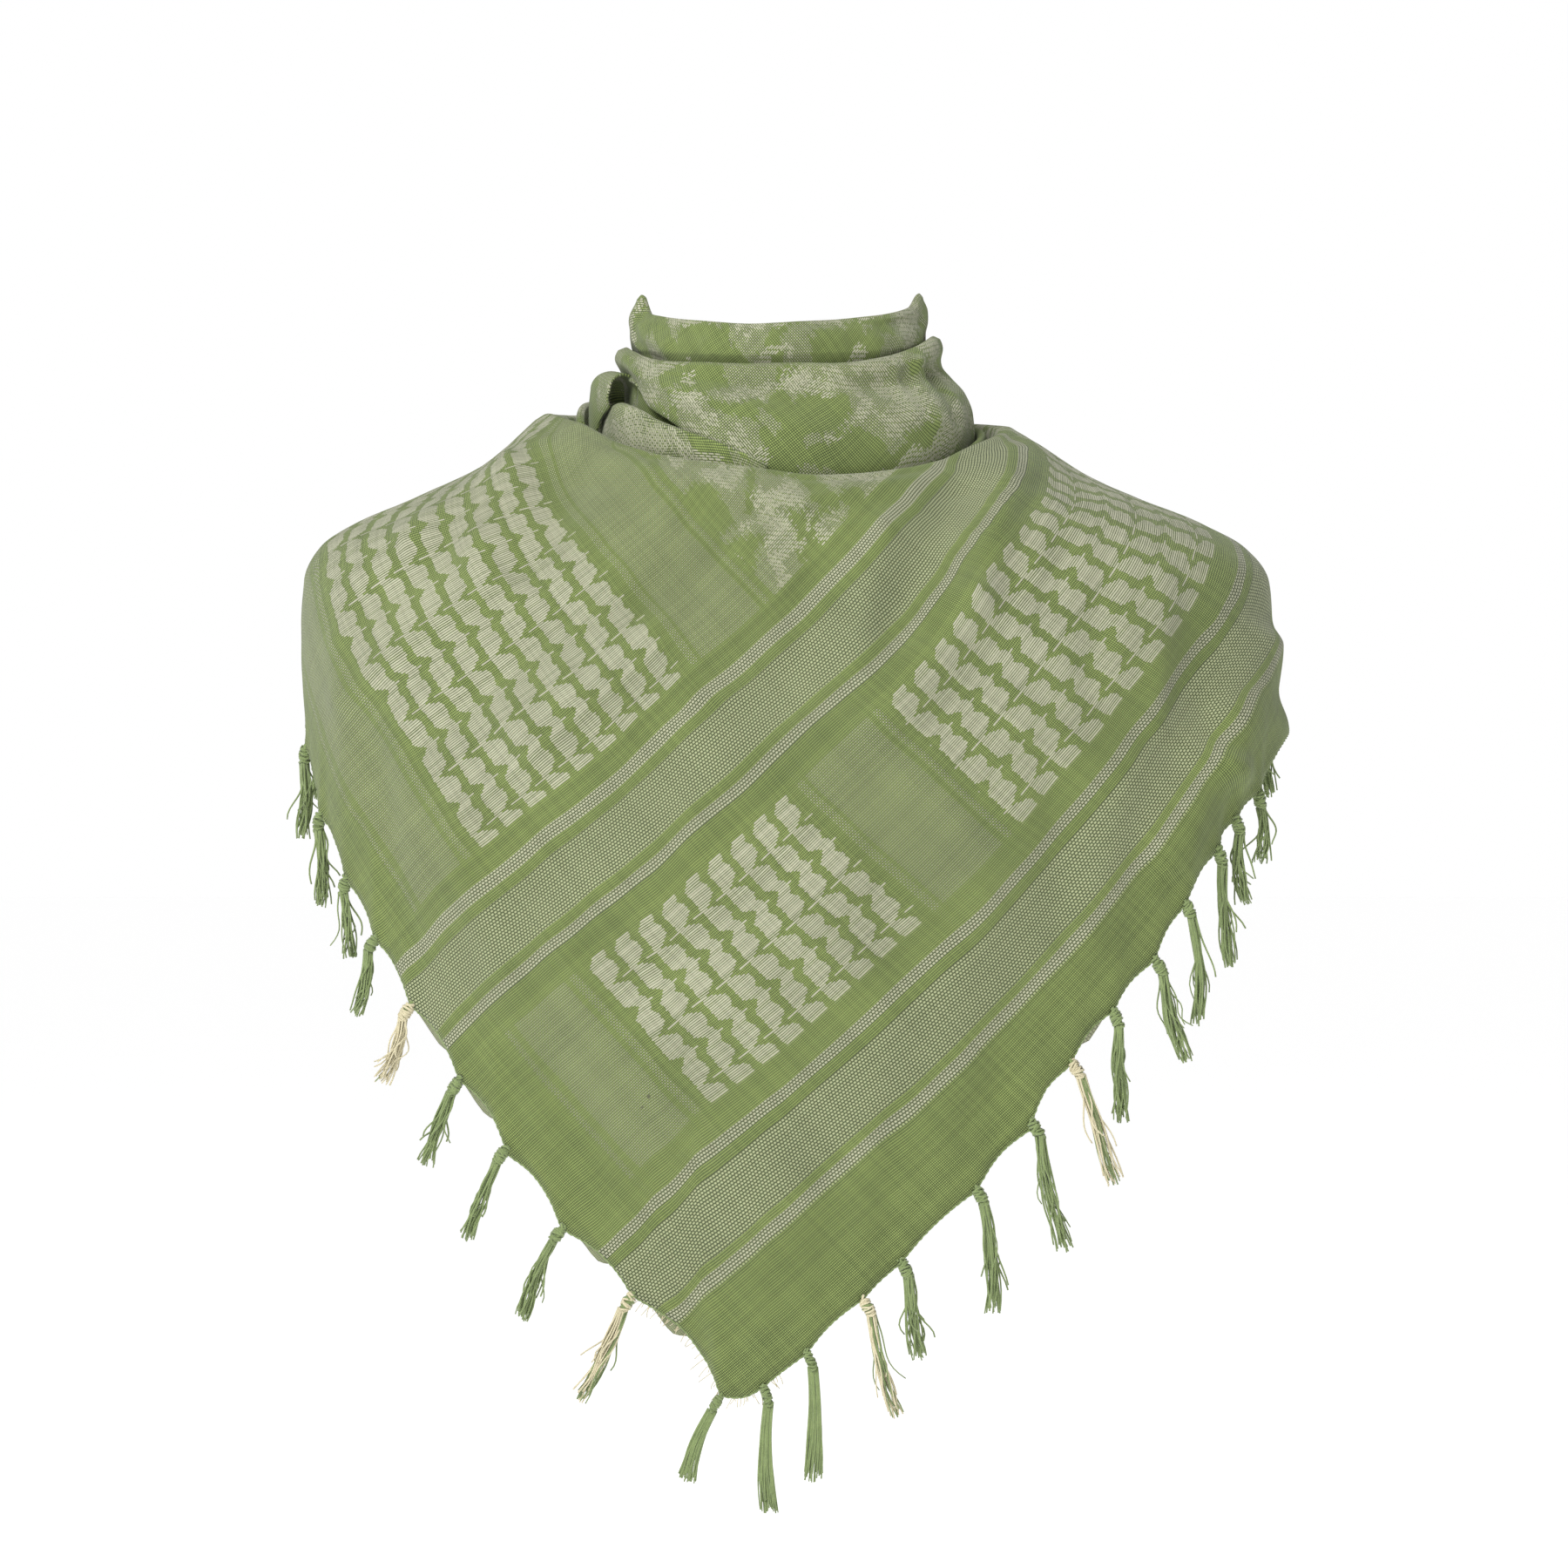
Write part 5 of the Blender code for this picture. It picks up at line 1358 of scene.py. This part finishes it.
studio = {
    "distance": 5.05, "cameraX": 4.2 * mm, "cameraZ": -168 * mm, "lens": 238.1, "sensor": 36,
    "floor": -0.66, "floorHalf": 40, "paperGlow": 0.72,
    "skyStrength": 0.22, "horizon": 1.0,  # above, and near the horizon
    "lamps": {  # place, where it points, size and power
        "key": ((-1.35, -2.3, 2.1), (0, 0, -0.15), 1.5, 132),
        "fill": ((2.1, -2.4, 0.5), (0, 0, -0.15), 2.0, 10),
        "top": ((0.2, 0.3, 2.2), (0, 0, 0), 1.6, 14),
    },
}


def backdrop():  # a wide pale floor
    mesh = bpy.data.meshes.new("backdrop")
    half = studio["floorHalf"]
    corners = [(x * half, y * half, studio["floor"]) for x, y in ((-1, -1), (1, -1), (1, 1), (-1, 1))]
    mesh.from_pydata(corners, [], [(0, 1, 2, 3)])
    paint = bpy.data.materials.new("palePaper")
    paint.use_nodes = True
    shader = paint.node_tree.nodes["Principled BSDF"]
    place = paint.node_tree.nodes.new("ShaderNodeTexCoord").outputs["Object"]
    tint = blend(grain(place, 3, 2.0, 0.5), (0.93, 0.93, 0.93, 1), (0.96, 0.96, 0.96, 1))
    plug(shader.inputs["Base Color"], tint)
    shader.inputs["Roughness"].default_value = 0.9
    shader.inputs["Emission Color"].default_value = (1, 1, 1, 1)
    shader.inputs["Emission Strength"].default_value = studio["paperGlow"]
    mesh.materials.append(paint)
    made = bpy.data.objects.new("backdrop", mesh)
    bpy.context.scene.collection.objects.link(made)


def areaLight(name, place, aim, size, power):
    lamp = bpy.data.lights.new(name, "AREA")
    lamp.shape = "SQUARE"
    lamp.size = size
    lamp.energy = power
    made = bpy.data.objects.new(name, lamp)
    made.location = place
    made.rotation_euler = (Vector(aim) - Vector(place)).to_track_quat("-Z", "Y").to_euler()
    bpy.context.scene.collection.objects.link(made)


def studioSky():  # bright near the horizon, dimmer above
    world = bpy.data.worlds.new("studioSky")
    world.use_nodes = True
    nodes = world.node_tree.nodes
    nodes["Background"].inputs["Color"].default_value = (1, 1, 1, 1)
    split = nodes.new("ShaderNodeSeparateXYZ")
    plug(split.inputs[0], nodes.new("ShaderNodeTexCoord").outputs["Generated"])
    above = soften(calc("ABSOLUTE", split.outputs[2]), 0.16, 0.34)
    glow = scaled(above, studio["skyStrength"] - studio["horizon"], studio["horizon"])
    plug(nodes["Background"].inputs["Strength"], glow)
    return world


scene = bpy.context.scene
backdrop()
for name, settings in studio["lamps"].items():
    areaLight(name, *settings)
scene.world = studioSky()
scene.view_settings.view_transform = "Standard"
lens = bpy.data.cameras.new("camera")
lens.sensor_width = studio["sensor"]
lens.lens = studio["lens"]
camera = bpy.data.objects.new("camera", lens)
camera.location = (studio["cameraX"], -studio["distance"], studio["cameraZ"])
camera.rotation_euler = (math.pi / 2, 0, 0)
scene.collection.objects.link(camera)
scene.camera = camera
print("scarf: studio made")
